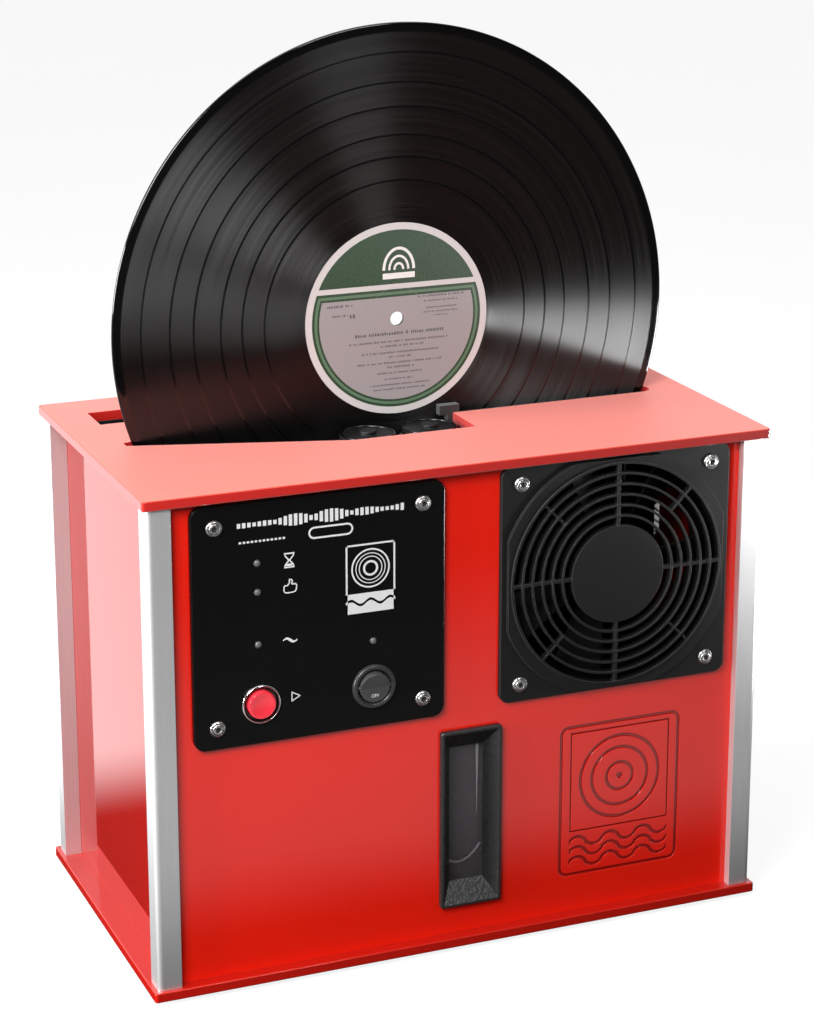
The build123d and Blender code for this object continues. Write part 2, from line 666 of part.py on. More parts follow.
def power_rocker():
    """Ball-sided rocker with a shallow valley, resting with its lower half pressed in."""
    ball = Sphere(ROCKER_RADIUS)
    low = -0.55 * ROCKER_RADIUS
    top = ROCKER_RISE
    half = ROCKER_RADIUS + 1
    lift = half * tan(radians(ROCKER_TILT))
    valley = Polyline((-half, low), (half, low), (half, top + lift), (0, top), (-half, top + lift),
                      close=True)
    prism = extrude(Plane.YZ * make_face(valley), amount=half, both=True)
    rocker = ball & prism
    rocker += Rot(0, 90, 0) * Cylinder(ROCKER_PIN, 2 * (SWITCH_BORE + 1))
    place = facing_front(control_x + SWITCH_X, control_z + SWITCH_Z, control_face + ROCKER_PIVOT)
    return place * Rot(ROCKER_TILT, 0, 0) * rocker


# ---------------------------------------------------------------- window
def window_spigot(play):
    """Outline of the bezel where it passes through the panel."""
    return Rectangle(WINDOW_WIDTH - 2 * WINDOW_LIP + 2 * play,
                     WINDOW_HEIGHT - 2 * WINDOW_LIP + 2 * play)


def window_bezel():
    """Frame with deep bevels that run back to the pane."""
    frame = slab(rounded(WINDOW_WIDTH, WINDOW_HEIGHT, 1.6), 0, WINDOW_PROUD)
    frame = chamfer(frame.faces().sort_by(Axis.Z)[-1].edges(), 0.5)
    frame += slab(window_spigot(0), -WINDOW_DEPTH, 0)
    mouth = Pos(0, 0, WINDOW_PROUD) * Rectangle(WINDOW_WIDTH - 2 * WINDOW_RIM,
                                                WINDOW_HEIGHT - 2 * WINDOW_RIM)
    throat = Pos(0, 0, -WINDOW_DEPTH) * Rectangle(PANE_WIDTH, PANE_HEIGHT)
    frame -= loft([mouth, throat], ruled=True)
    return facing_front(WINDOW_X, window_z, face_y) * frame


def window_pane():
    """Clear pane bonded to the back of the bezel."""
    pane = slab(window_spigot(-1.0), -WINDOW_DEPTH - PANE_THICK, -WINDOW_DEPTH)
    return facing_front(WINDOW_X, window_z, face_y) * pane


# ---------------------------------------------------------------- fans
def fan_guard():
    """Square guard: raised platform, ring grille, four spokes, four short ribs, solid hub."""
    base = slab(rounded(guard_width, guard_height, GUARD_CORNER), 0, GUARD_BASE)
    base = chamfer(base.faces().sort_by(Axis.Z)[-1].edges(), 0.5)
    side = 2 * (guard_outer + GUARD_PLATFORM_SIDE)
    platform = Circle(guard_outer + GUARD_PLATFORM_RIM) & Rectangle(side, side)
    guard = base + slab(platform, 0, GUARD_STEP)
    low = GUARD_PROUD - GUARD_RING_DEPTH
    pitch = (guard_outer - GUARD_HUB) / GUARD_RINGS
    guard -= rod(guard_outer - GUARD_RING_WIDTH, -1, GUARD_PROUD + 1)
    for x, y in guard_screw_places():
        guard -= drill(Pos(x, y, 0), SCREW_HOLE)
    guard += ring(guard_outer, guard_outer - GUARD_RING_WIDTH, 0, GUARD_PROUD)
    for i in range(1, GUARD_RINGS):
        outer = GUARD_HUB + i * pitch
        guard += ring(outer, outer - GUARD_RING_WIDTH, low, GUARD_PROUD)
    guard += rod(GUARD_HUB, low, GUARD_PROUD)
    reach = guard_outer - GUARD_RING_WIDTH / 2
    spoke_top = GUARD_PROUD - 0.4
    for turn in range(4):
        spoke = block((GUARD_HUB - 1, -SPOKE_WIDTH / 2, low), (reach, SPOKE_WIDTH / 2, spoke_top))
        rib_start = GUARD_HUB + 3 * pitch - GUARD_RING_WIDTH / 2
        rib = block((rib_start, -GUARD_RING_WIDTH / 2, low), (reach, GUARD_RING_WIDTH / 2, spoke_top))
        guard += Rot(0, 0, 90 * turn) * spoke
        guard += Rot(0, 0, 90 * turn + 45) * rib
    return guard


def fan_frame():
    """Square duct with corner lugs, four struts and the motor seat; outer face on Z = 0."""
    body = slab(rounded(FAN_SIZE, FAN_SIZE, FAN_CORNER), -FAN_DEPTH, 0)
    body -= rod(fan_bore, -FAN_DEPTH - 1, 1)
    relief = 4.0
    waist = rounded(FAN_SIZE + 2, FAN_SIZE + 2, FAN_CORNER) - Circle(fan_bore + 2)
    notch = waist & (Rectangle(FAN_SIZE, FAN_SIZE) - Rectangle(FAN_SIZE - 36, FAN_SIZE + 2)
                     - Rectangle(FAN_SIZE + 2, FAN_SIZE - 36))
    body -= slab(notch, relief - FAN_DEPTH, -relief)
    for x, y in guard_screw_places():
        body -= drill(Pos(x, y, 0), SCREW_HOLE, 3 * FAN_DEPTH)
    seat = -FAN_DEPTH + 6
    for turn in range(4):
        strut = block((FAN_HUB - 2, -3, -FAN_DEPTH), (fan_bore + 0.5, 3, -FAN_DEPTH + 4))
        body += Rot(0, 0, 90 * turn + 45) * strut
    body += rod(FAN_HUB, -FAN_DEPTH, seat)
    body -= rod(1.5 + RUNNING_PLAY, -FAN_DEPTH - 1, seat + 1)
    return body


def fan_impeller():
    """Hub with twisted blades on a shaft that turns in the motor seat."""
    back = -FAN_DEPTH + 6.5
    front = -4.0
    hub = rod(FAN_HUB, back, front)
    hub = fillet(hub.edges().sort_by(Axis.Z)[-1], 2.0)
    hub += rod(1.5, -FAN_DEPTH + 0.5, back + 1)
    tip = fan_bore - FAN_TIP_GAP
    middle = (back + front) / 2
    rise = front - back - 1.5
    for i in range(FAN_BLADES):
        sections = []
        for radius, pitch in ((FAN_HUB - 1.5, 52.0), ((FAN_HUB + tip) / 2, 38.0), (tip, 28.0)):
            chord = rise / sin(radians(pitch)) * 0.9
            plane = Plane(origin=(radius, 0, middle), x_dir=(0, 1, 0), z_dir=(1, 0, 0))
            sections.append(plane * Rot(0, 0, pitch) * Rectangle(chord, 1.6))
        hub += Rot(0, 0, 360 / FAN_BLADES * i) * loft(sections, ruled=True)
    return hub & rod(tip, -FAN_DEPTH, 0)


# ---------------------------------------------------------------- record
def vinyl_record():
    """Pressed disc: flat label area, thinner groove area and a rim bead."""
    label = RECORD_THICK / 2 - LABEL_THICK
    land = RECORD_THICK / 2
    thin = GROOVE_AREA_THICK / 2
    bead = RECORD_RADIUS - RIM_BEAD
    rim = RECORD_RADIUS
    profile = Polyline((RECORD_HOLE, 0), (RECORD_HOLE, label), (LABEL_RADIUS, label),
                       (LABEL_RADIUS, land), (LABEL_RADIUS + 1.5, land), (LABEL_RADIUS + 4, thin),
                       (bead, thin), (bead + 1, land), (rim - 0.6, land), (rim, land * 0.4), (rim, 0),
                       close=True)
    half = revolve(Plane.XZ * make_face(profile), Axis.Z)
    disc = half + mirror(half, about=Plane.XY)
    return facing_front(0, record_z, -RECORD_Y) * disc


def record_labels():
    """Paper label pressed into each side."""
    inner = RECORD_THICK / 2 - LABEL_THICK
    label = ring(LABEL_RADIUS, RECORD_HOLE, inner, RECORD_THICK / 2)
    return [place(0, record_z, side * RECORD_Y) * label
            for place, side in ((facing_front, -1), (facing_rear, 1))]


# ---------------------------------------------------------------- washing tank
def wash_tank():
    """Deep trough under the slot, open at the top, with bosses for rollers and bracket."""
    tank = slab(slot_outline(TANK_STEP + TANK_WALL), tank_floor_under, plate_under)
    tank -= slab(slot_outline(TANK_STEP), tank_floor_top, plate_under + 1)
    wing = SLOT_WIDTH / 2 + TANK_STEP
    # left roller: bosses inside both walls and a motor boss in front
    left_wall = BAY_HALF_DEPTH + TANK_STEP
    room = slab(slot_outline(TANK_STEP + TANK_WALL / 2), tank_floor_under, plate_under)
    inner_face = ROLLER_WIDTH / 2 + 1
    boss = Pos(-roller_x, 0, roller_z) * Rot(90, 0, 0) * Cylinder(6, 2 * left_wall)
    boss -= Pos(-roller_x, 0, roller_z) * Box(20, 2 * inner_face, 20)
    boss = Pos(0, RECORD_Y, 0) * boss & room
    pad = Pos(-roller_x, (motor_face + RECORD_Y) / 2, roller_z) * Rot(90, 0, 0) * Cylinder(
        RECORD_MOTOR_RADIUS, RECORD_Y - motor_face)
    tank += (pad - room) + boss
    tank -= Pos(-roller_x, (motor_face + RECORD_Y + 8 + inner_face) / 2 - 1, roller_z) * Rot(
        90, 0, 0) * Cylinder(SHAFT_RADIUS + RUNNING_PLAY, RECORD_Y + 8 + inner_face - motor_face + 2)
    # right roller: short bosses that carry a fixed axle
    boss = Pos(roller_x, 0, roller_z) * Rot(90, 0, 0) * Cylinder(4.5, 2 * wing)
    boss -= Pos(roller_x, 0, roller_z) * Box(20, ROLLER_WIDTH + 1, 20)
    tank += Pos(0, RECORD_Y, 0) * boss
    tank -= idler_axle()
    # drum axle holes, bracket bosses and the feed hole
    for x, y in drum_places().values():
        tank -= rod(AXLE_RADIUS + RUNNING_PLAY, tank_floor_under - 1, tank_floor_top + 1, x, y)
    for x in bracket_boss_places():
        tank += rod(BRACKET_BOSS, bracket_top, tank_floor_under, x, RECORD_Y)
    tank += rod(PIPE_BORE, tank_floor_under - NIPPLE_LENGTH, tank_floor_under, feed_x, RECORD_Y)
    tank -= rod(PIPE_BORE - 1, tank_floor_under - NIPPLE_LENGTH - 1, tank_floor_top + 1, feed_x, RECORD_Y)
    # air slots in the right wing, in front of each fan
    first = BAY_RIGHT + TANK_STEP + 14
    last = slot_half_length - SLOT_WIDTH - AIR_SLOT_WIDTH
    count = int((last - first) / AIR_SLOT_PITCH) + 1
    high = plate_under - AIR_SLOT_BELOW_TOP
    for i in range(count):
        x = first + i * AIR_SLOT_PITCH
        tank -= block((x, RECORD_Y - wing - TANK_WALL - 1, high - AIR_SLOT_HEIGHT),
                      (x + AIR_SLOT_WIDTH, RECORD_Y + wing + TANK_WALL + 1, high))
    return tank


def bracket_boss_places():
    """Three bosses in line: left of, between and right of the drum gears."""
    middle = (drum_left_x + drum_right_x) / 2
    reach = drum_pitch / 2 + gear_module * (GEAR_TEETH / 2 + 1) + BRACKET_BOSS + 1
    return (middle - reach * 0.88, middle, middle + reach * 0.88)


def idler_axle():
    """Fixed axle of the right roller, held in blind holes of the tank's walls."""
    length = SLOT_WIDTH + 2 * TANK_STEP + TANK_WALL
    return Pos(roller_x, RECORD_Y, roller_z) * Rot(90, 0, 0) * Cylinder(SHAFT_RADIUS, length)


def roller(bore):
    """Grooved rubber roller around local Z."""
    half = ROLLER_WIDTH / 2
    flat = ROLLER_GROOVE_WIDTH / 2
    slope = (ROLLER_RADIUS - ROLLER_GROOVE_RADIUS) * tan(radians(25))
    profile = Polyline((bore, -half), (ROLLER_RADIUS, -half), (ROLLER_RADIUS, -flat - slope),
                       (ROLLER_GROOVE_RADIUS, -flat), (ROLLER_GROOVE_RADIUS, flat),
                       (ROLLER_RADIUS, flat + slope), (ROLLER_RADIUS, half), (bore, half), close=True)
    return revolve(Plane.XZ * make_face(profile), Axis.Z)


def drive_roller():
    """Left roller moulded on a shaft that runs from the motor to the rear boss."""
    rear = ROLLER_WIDTH / 2 + 1 + 7
    front = RECORD_Y - motor_face + 10
    shaft = rod(SHAFT_RADIUS, -rear, front)
    return facing_front(-roller_x, roller_z, -RECORD_Y) * (roller(SHAFT_RADIUS - 0.2) + shaft)


def idler_roller():
    return facing_front(roller_x, roller_z, -RECORD_Y) * roller(SHAFT_RADIUS + RUNNING_PLAY)


def record_motor():
    """Gear motor on the tank's front boss."""
    body = rod(RECORD_MOTOR_RADIUS, 0, RECORD_MOTOR_LENGTH)
    body = chamfer(body.edges().sort_by(Axis.Z)[-1], 1.0)
    body += rod(4, RECORD_MOTOR_LENGTH, RECORD_MOTOR_LENGTH + 2)
    body -= rod(SHAFT_RADIUS + RUNNING_PLAY, -1, 11)
    return facing_front(-roller_x, roller_z, -motor_face) * body


def wiper_blades():
    """Upright rubber wiper on each side of the record, at the mouth of the right wing."""
    wing = SLOT_WIDTH / 2
    near = RECORD_THICK / 2 + WIPER_GAP
    far = wing - WIPER_SLOT_GAP
    right = WIPER_LEFT + WIPER_LENGTH
    blades = []
    for side in (-1, 1):
        head_low = top_face - WIPER_HEAD_DROP
        spans = ((wing + TANK_STEP, WIPER_LEFT, record_bottom + 8, plate_under - 1),
                 (far, WIPER_LEFT, plate_under - 1, head_low),
                 (far, WIPER_LEFT - WIPER_HEAD, head_low, top_face + WIPER_RISE))
        blade = Part()
        for outer, left, low, high in spans:
            y_low, y_high = sorted((RECORD_Y + side * near, RECORD_Y + side * outer))
            blade += block((left, y_low, low), (right, y_high, high))
        blades.append(solids_of(blade)[0])
    return blades


# ---------------------------------------------------------------- drums and their gears
def drum_places():
    """Axle of each drum, by name."""
    front, rear = RECORD_Y - drum_offset, RECORD_Y + drum_offset
    return {"front_left": (drum_left_x, front), "front_right": (drum_right_x, front),
            "rear_left": (drum_left_x, rear), "rear_right": (drum_right_x, rear)}


def drum_core():
    """Turned core: axle, two end caps and the finger hub, around the world's Z."""
    top = top_face - DRUM_TOP_DROP
    low = tank_floor_top + DRUM_FLOOR_GAP
    core = rod(DRUM_CORE_RADIUS, low, top)
    for cap_low, cap_high in ((low, low + DRUM_CAP_THICK), (top - DRUM_CAP_THICK, top)):
        core += rod(DRUM_RADIUS - 1.2, cap_low, cap_high)
    core = chamfer(core.edges().filter_by(GeomType.CIRCLE).sort_by(Axis.Z)[-1], 0.8)
    hub = rod(DRUM_KNOB_RADIUS, top, top + DRUM_KNOB_RISE)
    hub = fillet(hub.edges().sort_by(Axis.Z)[-1], DRUM_KNOB_RISE * 0.4)
    return core + hub + rod(AXLE_RADIUS, bracket_under, low)


def drum_sleeve():
    """Microfibre sleeve between the end caps."""
    low = tank_floor_top + DRUM_FLOOR_GAP + DRUM_CAP_THICK
    high = top_face - DRUM_TOP_DROP - DRUM_CAP_THICK
    return ring(DRUM_RADIUS, DRUM_CORE_RADIUS, low, high)


def gear(teeth, low, high, phase=0.0):
    """Spur gear of the drums' module; phase is its turn in tooth pitches."""
    pitch_radius = gear_module * teeth / 2
    tip = pitch_radius + 0.9 * gear_module
    root = pitch_radius - 1.2 * gear_module
    pitch_angle = 2 * pi / teeth
    points = []
    for i in range(teeth):
        middle = (i + phase) * pitch_angle
        for radius, share in ((root, -0.35), (pitch_radius, -0.21), (tip, -0.105),
                              (tip, 0.105), (pitch_radius, 0.21), (root, 0.35)):
            angle = middle + share * pitch_angle
            points.append((radius * cos(angle), radius * sin(angle)))
    return slab(make_face(Polyline(*points, close=True)), low, high)


def meshing_phase(teeth, phase, direction, other_teeth):
    """Phase of a gear that meshes with another, seen from it in a direction in degrees."""
    offset = phase - direction * teeth / 360
    return 0.5 - offset + (direction + 180) * other_teeth / 360


def drum_gears():
    """Gear of each drum, by name, all in mesh at rest."""
    front_left = 0.0
    front_right = meshing_phase(GEAR_TEETH, front_left, 0, GEAR_TEETH)
    rear_left = meshing_phase(GEAR_TEETH, front_left, 90, GEAR_TEETH)
    rear_right = meshing_phase(GEAR_TEETH, front_right, 90, GEAR_TEETH)
    phases = {"front_left": front_left, "front_right": front_right,
              "rear_left": rear_left, "rear_right": rear_right}
    return {name: gear(GEAR_TEETH, gear_under, gear_top, phase) for name, phase in phases.items()}


def drum_pinion():
    """Pinion and shaft of the drum motor, in mesh with the front left gear."""
    phase = meshing_phase(GEAR_TEETH, 0.0, PINION_ANGLE, PINION_TEETH)
    wheel = gear(PINION_TEETH, gear_under, gear_top, phase)
    shaft = rod(SHAFT_RADIUS, bracket_under - 8, gear_top)
    return Pos(motor_x, motor_y, 0) * (wheel + shaft)


def drum_motor():
    """Small motor hung below the bracket."""
    body = rod(DRUM_MOTOR_RADIUS, bracket_under - DRUM_MOTOR_LENGTH, bracket_under)
    body = chamfer(body.edges().sort_by(Axis.Z)[0], 1.0)
    body -= rod(SHAFT_RADIUS + RUNNING_PLAY, bracket_under - 9, bracket_under + 1)
    return Pos(motor_x, motor_y, 0) * body


def gear_bracket():
    """Plate below the gears: lower bearings of the drum axles and the motor's seat."""
    places = drum_places()
    low_x = motor_x - DRUM_MOTOR_RADIUS - 1
    high_x = bracket_boss_places()[2] + BRACKET_BOSS + 1
    low_y = motor_y - DRUM_MOTOR_RADIUS - 1
    high_y = places["rear_left"][1] + BRACKET_MARGIN
    outline = Pos((low_x + high_x) / 2, (low_y + high_y) / 2, 0) * rounded(
        high_x - low_x, high_y - low_y, 6)
    plate = slab(outline, bracket_under, bracket_top)
    for x, y in places.values():
        plate -= rod(AXLE_RADIUS + RUNNING_PLAY, bracket_under - 1, bracket_top + 1, x, y)
    plate -= rod(SHAFT_RADIUS + 1, bracket_under - 1, bracket_top + 1, motor_x, motor_y)
    return plate


# ---------------------------------------------------------------- filter
def filter_well():
    """Pocket under the filter slot, hung from the top plate."""
    well = slab(filter_slot(FILTER_WALL), well_floor, plate_under)
    return well - slab(filter_slot(0.0), well_floor + FILTER_WALL, plate_under + 1)


def filter_frame():
    """Lift-out cassette: open frame with a pull tab."""
    low = well_floor + FILTER_WALL + 0.2
    high = low + FILTER_HEIGHT
    frame = slab(filter_slot(-FILTER_PLAY), low, high)
    length = FILTER_SLOT_LENGTH - 2 * FILTER_PLAY - 2 * FILTER_RIM
    window = Box(length, FILTER_SLOT_WIDTH + 2, FILTER_HEIGHT - 2 * FILTER_RIM)
    frame -= Pos(filter_x, filter_y, (low + high) / 2) * window
    tab = block((filter_x - 12, filter_y - 1.5, high), (filter_x + 12, filter_y + 1.5,
                                                             high + FILTER_TAB))
    tab = fillet(tab.edges().filter_by(Axis.Y).sort_by(Axis.Z)[-2:], 4.0)
    return frame + tab


def filter_foam():
    """Foam block in the cassette."""
    low = well_floor + FILTER_WALL + 0.2 + FILTER_RIM
    high = low + FILTER_HEIGHT - 2 * FILTER_RIM
    inner = Rectangle(FILTER_SLOT_LENGTH - 2 * FILTER_PLAY - 2 * FILTER_RIM,
                      FILTER_SLOT_WIDTH - 2 * FILTER_PLAY - 2)
    return slab(Pos(filter_x, filter_y, 0) * inner, low, high)


# ---------------------------------------------------------------- water, current and control
def reservoir():
    """Closed water tank on the base plate, with a suction hole below the pump."""
    half_x = side_back - RESERVOIR_SIDE_GAP
    half_y = pane_back - RESERVOIR_FACE_GAP
    tank = block((-half_x, -half_y, base_top), (half_x, half_y, reservoir_top))
    tank = fillet(tank.edges().filter_by(Axis.Z), 6)
    wall = RESERVOIR_WALL
    inner = block((wall - half_x, wall - half_y, base_top + wall),
                  (half_x - wall, half_y - wall, reservoir_top - wall))
    tank -= fillet(inner.edges().filter_by(Axis.Z), 3.5)
    tank -= rod(PIPE_RADIUS + HOLE_PLAY, reservoir_top - wall - 1, reservoir_top + 1, pump_x, pump_y)
    return tank


def water_pump():
    """Pump and motor block on the reservoir, with feed and drain nipples."""
    half_x, half_y = PUMP_LENGTH / 2, PUMP_WIDTH / 2
    body = block((pump_x - half_x, pump_y - half_y, reservoir_top),
                 (pump_x + half_x * 0.2, pump_y + half_y, reservoir_top + PUMP_HEIGHT))
    body = fillet(body.edges().filter_by(Axis.Z), 4)
    motor_z = reservoir_top + PUMP_HEIGHT / 2
    motor = Pos(pump_x + half_x * 0.55, pump_y, motor_z) * Rot(0, 90, 0) * Cylinder(
        PUMP_HEIGHT / 2, half_x * 0.9)
    body += motor
    body += rod(PIPE_RADIUS, reservoir_top - 10, reservoir_top, pump_x, pump_y)
    feed = Pos(pump_x - half_x - NIPPLE_LENGTH / 2, pump_y, drain_z) * Rot(0, 90, 0)
    body += feed * Cylinder(PIPE_BORE, NIPPLE_LENGTH)
    return body + Pos(drain_pump_x(), pump_y + half_y + drain_seat / 2, drain_z) * Rot(
        90, 0, 0) * Cylinder(PIPE_BORE, drain_seat)


def drain_pump_x():
    """Drain nipple's place along the pump."""
    return pump_x - PUMP_LENGTH / 4


def tube(points, bends):
    """Rigid pipe with a clear bore along straight runs joined by tangent arcs."""
    path = FilletPolyline(*points, radius=bends) if len(points) > 2 else Line(*points)
    start = Plane(origin=path @ 0, z_dir=path % 0)
    outer = sweep(start * Circle(PIPE_RADIUS), path=path)
    return outer - sweep(start * Circle(PIPE_BORE), path=path)


def feed_pipe():
    """From the pump to the floor of the washing tank."""
    start_x = pump_x - PUMP_LENGTH / 2
    return tube([(start_x, pump_y, drain_z), (feed_x, pump_y, drain_z), (feed_x, RECORD_Y, drain_z),
                 (feed_x, RECORD_Y, tank_floor_under)], PIPE_BEND)


def drain_pipe():
    """From the pump to the drain port in the rear panel."""
    start = pump_y + PUMP_WIDTH / 2
    middle = start + drain_run / 2
    side = drain_pump_x()
    return tube([(side, start, drain_z), (side, middle, drain_z), (drain_x, middle, drain_z),
                 (drain_x, start + drain_run, drain_z)], drain_bend)


def drain_port():
    """Bulkhead hose fitting: collar outside, nut inside, a seat for the drain pipe."""
    collar = rod(DRAIN_RADIUS, 0, 5.0)
    collar = fillet(collar.edges().sort_by(Axis.Z)[-1], 1.5)
    stem = -FACE_THICK - DRAIN_BORE_DEPTH / 2
    port = collar + rod(DRAIN_RADIUS - 2, stem, 0)
    port += slab(RegularPolygon(DRAIN_RADIUS, 6), -FACE_THICK - 4, -FACE_THICK)
    port -= rod(DRAIN_BORE, 5.0 - DRAIN_BORE_DEPTH, 6.0)
    return facing_rear(drain_x, drain_z, face_y) * port


def mains_inlet():
    """Mains socket: plate over the cut-out, flange, and a body with a cavity round its pins."""
    plate = slab(rounded(INLET_PLATE_WIDTH, INLET_PLATE_HEIGHT, 4), 0, INLET_PLATE_THICK)
    plate = chamfer(plate.faces().sort_by(Axis.Z)[-1].edges(), 0.6)
    for x, y in corners(INLET_PLATE_WIDTH - INLET_PLATE_LAP, INLET_PLATE_HEIGHT - INLET_PLATE_LAP):
        plate += rod(INLET_RIVET, 0, INLET_PLATE_THICK + 0.8, x, y)
    shoulder = Rectangle(inlet_cut_width - 2 * HOLE_PLAY, inlet_cut_height - 2 * HOLE_PLAY)
    plate += slab(shoulder, -FACE_THICK, 0)
    flange = slab(rounded(INLET_FLANGE_WIDTH, INLET_FLANGE_HEIGHT, 4), INLET_PLATE_THICK, inlet_rise)
    flange = chamfer(flange.faces().sort_by(Axis.Z)[-1].edges(), 0.6)
    body = plate + flange + slab(rounded(INLET_BODY_WIDTH, INLET_BODY_HEIGHT, 2), -INLET_DEPTH, 0)
    cavity = Rectangle(INLET_CAVITY_WIDTH, INLET_CAVITY_HEIGHT)
    cavity = chamfer(cavity.vertices().sort_by(Axis.Y)[:2], 4.0)
    body -= slab(cavity, inlet_rise - INLET_CAVITY_DEPTH, inlet_rise + 1)
    for x in (-1, 1):
        body -= Pos(x * INLET_SCREW_PITCH / 2, 0, inlet_rise) * Cylinder(INLET_SCREW_HOLE, 6)
    return facing_rear(inlet_x, inlet_z, face_y) * body


def inlet_pins():
    """Three blade contacts that stand in the inlet's cavity."""
    floor = inlet_rise - INLET_CAVITY_DEPTH
    spots = ((-7.0, 1.5), (0.0, 5.5 - 1.0), (7.0, 1.5))
    pins = []
    for x, y in spots:
        pin = block((x - 1.0, y - 2.0, floor), (x + 1.0, y + 2.0, floor + 13.0))
        pins.append(facing_rear(inlet_x, inlet_z, face_y) * pin)
    return pins


def circuit_board():
    """Control board on standoffs behind the control plate, with its larger components."""
    board_z = plate_under - BOARD_BELOW_TOP - BOARD_HEIGHT / 2
    back = -BOARD_STANDOFF - BOARD_THICK
    board = block((-BOARD_WIDTH / 2, -BOARD_HEIGHT / 2, back), (BOARD_WIDTH / 2, BOARD_HEIGHT / 2,
                                                               -BOARD_STANDOFF))
    for x, y in corners(BOARD_WIDTH - 12, BOARD_HEIGHT - 12):
        board += rod(3, -BOARD_STANDOFF, 0, x, y)
    for x, y, w, h, d in ((-36, 16, 30, 26, 16), (-4, 18, 18, 16, 12), (20, 18, 18, 16, 12),
                          (-38, -18, 24, 10, 9), (2, -14, 34, 10, 3)):
        board += block((x - w / 2, y - h / 2, back - d), (x + w / 2, y + h / 2, back))
    for x in (34, 46):
        board += rod(5, back - 20, back, x, -16)
    return facing_front(control_x, board_z, face_back) * board


def ultrasonic_transducer():
    """Bolt-clamped transducer bonded under the tank's left wing."""
    top = tank_floor_under
    body = rod(TRANSDUCER_RADIUS, top - TRANSDUCER_LENGTH * 0.3, top)
    body += rod(TRANSDUCER_RADIUS * 0.8, top - TRANSDUCER_LENGTH * 0.6, top - TRANSDUCER_LENGTH * 0.3)
    body += rod(TRANSDUCER_RADIUS * 0.9, top - TRANSDUCER_LENGTH, top - TRANSDUCER_LENGTH * 0.6)
    return Pos(TRANSDUCER_X, RECORD_Y, 0) * body


# ---------------------------------------------------------------- write the nodes
motor_face = RECORD_Y - (BAY_HALF_DEPTH + TANK_STEP + TANK_WALL)


def write_case():
    save("base_plate", base_plate())
    save("base_screws", *base_screws())
    save("top_plate", top_plate())
    post = rear_right_post()
    save("post_rear_right", post)
    save("post_rear_left", mirror(post, about=Plane.YZ))
    save("post_front_right", mirror(post, about=Plane.XZ))
    save("post_front_left", mirror(mirror(post, about=Plane.YZ), about=Plane.XZ))
    save("front_panel", front_panel())
    save("rear_panel", rear_panel())
    save("left_panel", side_panel(-1))
    save("right_panel", side_panel(1))
    save("feet", *feet())


def write_controls():
    save("control_plate", control_plate())
    save("control_plate_screws", *control_plate_screws())
    save("indicator_leds", *indicator_leds())
    save("start_button_bezel", start_button_bezel())
    save("start_button_cap", start_button_cap())
    save("power_switch_housing", power_switch_housing())
    save("power_rocker", power_rocker())
    save("window_bezel", window_bezel())
    save("window_pane", window_pane())
    save("circuit_board", circuit_board())


def write_fans():
    seat = face_y + GUARD_BASE
    length = GUARD_BASE + FACE_THICK + 8
    for end, place in (("front", facing_front), ("rear", facing_rear)):
        save(f"{end}_fan_guard", place(fan_x, guard_z, face_y) * fan_guard())
        spots = [(fan_x + x, guard_z + y) for x, y in guard_screw_places()]
        save(f"{end}_guard_screws", *screws_on(place, spots, seat, length))
        save(f"{end}_fan_frame", place(fan_x, guard_z, face_back) * fan_frame())
        save(f"{end}_fan_impeller", place(fan_x, guard_z, face_back) * fan_impeller())


def write_washing_gear():
    save("vinyl_record", vinyl_record())
    save("record_labels", *record_labels())
    save("wash_tank", wash_tank())
    save("wiper_blades", *wiper_blades())
    save("drive_roller", drive_roller())
    save("idler_roller", idler_roller())
    save("idler_axle", idler_axle())
    save("record_motor", record_motor())
    core, sleeve, gears = drum_core(), drum_sleeve(), drum_gears()
    for name, (x, y) in drum_places().items():
        save(f"{name}_drum_core", Pos(x, y, 0) * (core + gears[name]))
        save(f"{name}_drum_sleeve", Pos(x, y, 0) * sleeve)
    save("drum_pinion", drum_pinion())
    save("drum_motor", drum_motor())
    save("gear_bracket", gear_bracket())
    save("ultrasonic_transducer", ultrasonic_transducer())


def write_water_and_mains():
    save("filter_well", filter_well())
    save("filter_frame", filter_frame())
    save("filter_foam", filter_foam())
    save("reservoir", reservoir())
    save("water_pump", water_pump())
    save("feed_pipe", feed_pipe())
    save("drain_pipe", drain_pipe())
    save("drain_port", drain_port())
    save("mains_inlet", mains_inlet())
    save("inlet_pins", *inlet_pins())


os.makedirs("parts", exist_ok=True)
write_case()
write_controls()
write_fans()
write_washing_gear()
write_water_and_mains()
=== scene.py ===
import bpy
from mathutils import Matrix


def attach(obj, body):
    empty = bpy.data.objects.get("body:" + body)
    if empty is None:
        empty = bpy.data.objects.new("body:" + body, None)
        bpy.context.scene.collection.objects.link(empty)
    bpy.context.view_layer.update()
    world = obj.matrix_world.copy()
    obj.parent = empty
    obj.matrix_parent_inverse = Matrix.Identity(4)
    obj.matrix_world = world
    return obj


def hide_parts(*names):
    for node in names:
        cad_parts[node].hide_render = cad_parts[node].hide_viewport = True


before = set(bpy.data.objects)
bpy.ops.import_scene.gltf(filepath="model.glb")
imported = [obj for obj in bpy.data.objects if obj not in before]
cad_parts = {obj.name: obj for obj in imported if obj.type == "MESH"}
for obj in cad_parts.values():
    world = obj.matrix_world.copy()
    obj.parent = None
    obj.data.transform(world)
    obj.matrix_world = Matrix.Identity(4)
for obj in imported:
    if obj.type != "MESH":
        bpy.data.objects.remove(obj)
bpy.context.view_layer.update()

"""Appearance of the upright record cleaning machine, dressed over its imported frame.

Lengths inside the classes are millimetres, as on a drawing, and become metres in Place.world.
Each sub-assembly is a class, each finish is a frozen dataclass, and main() builds them in order.
"""
import logging
from dataclasses import dataclass, field
from enum import Enum
from functools import cache
from math import radians
from typing import Callable, Iterable, Sequence, Union

import bmesh
import bpy
import numpy as np
from mathutils import Matrix

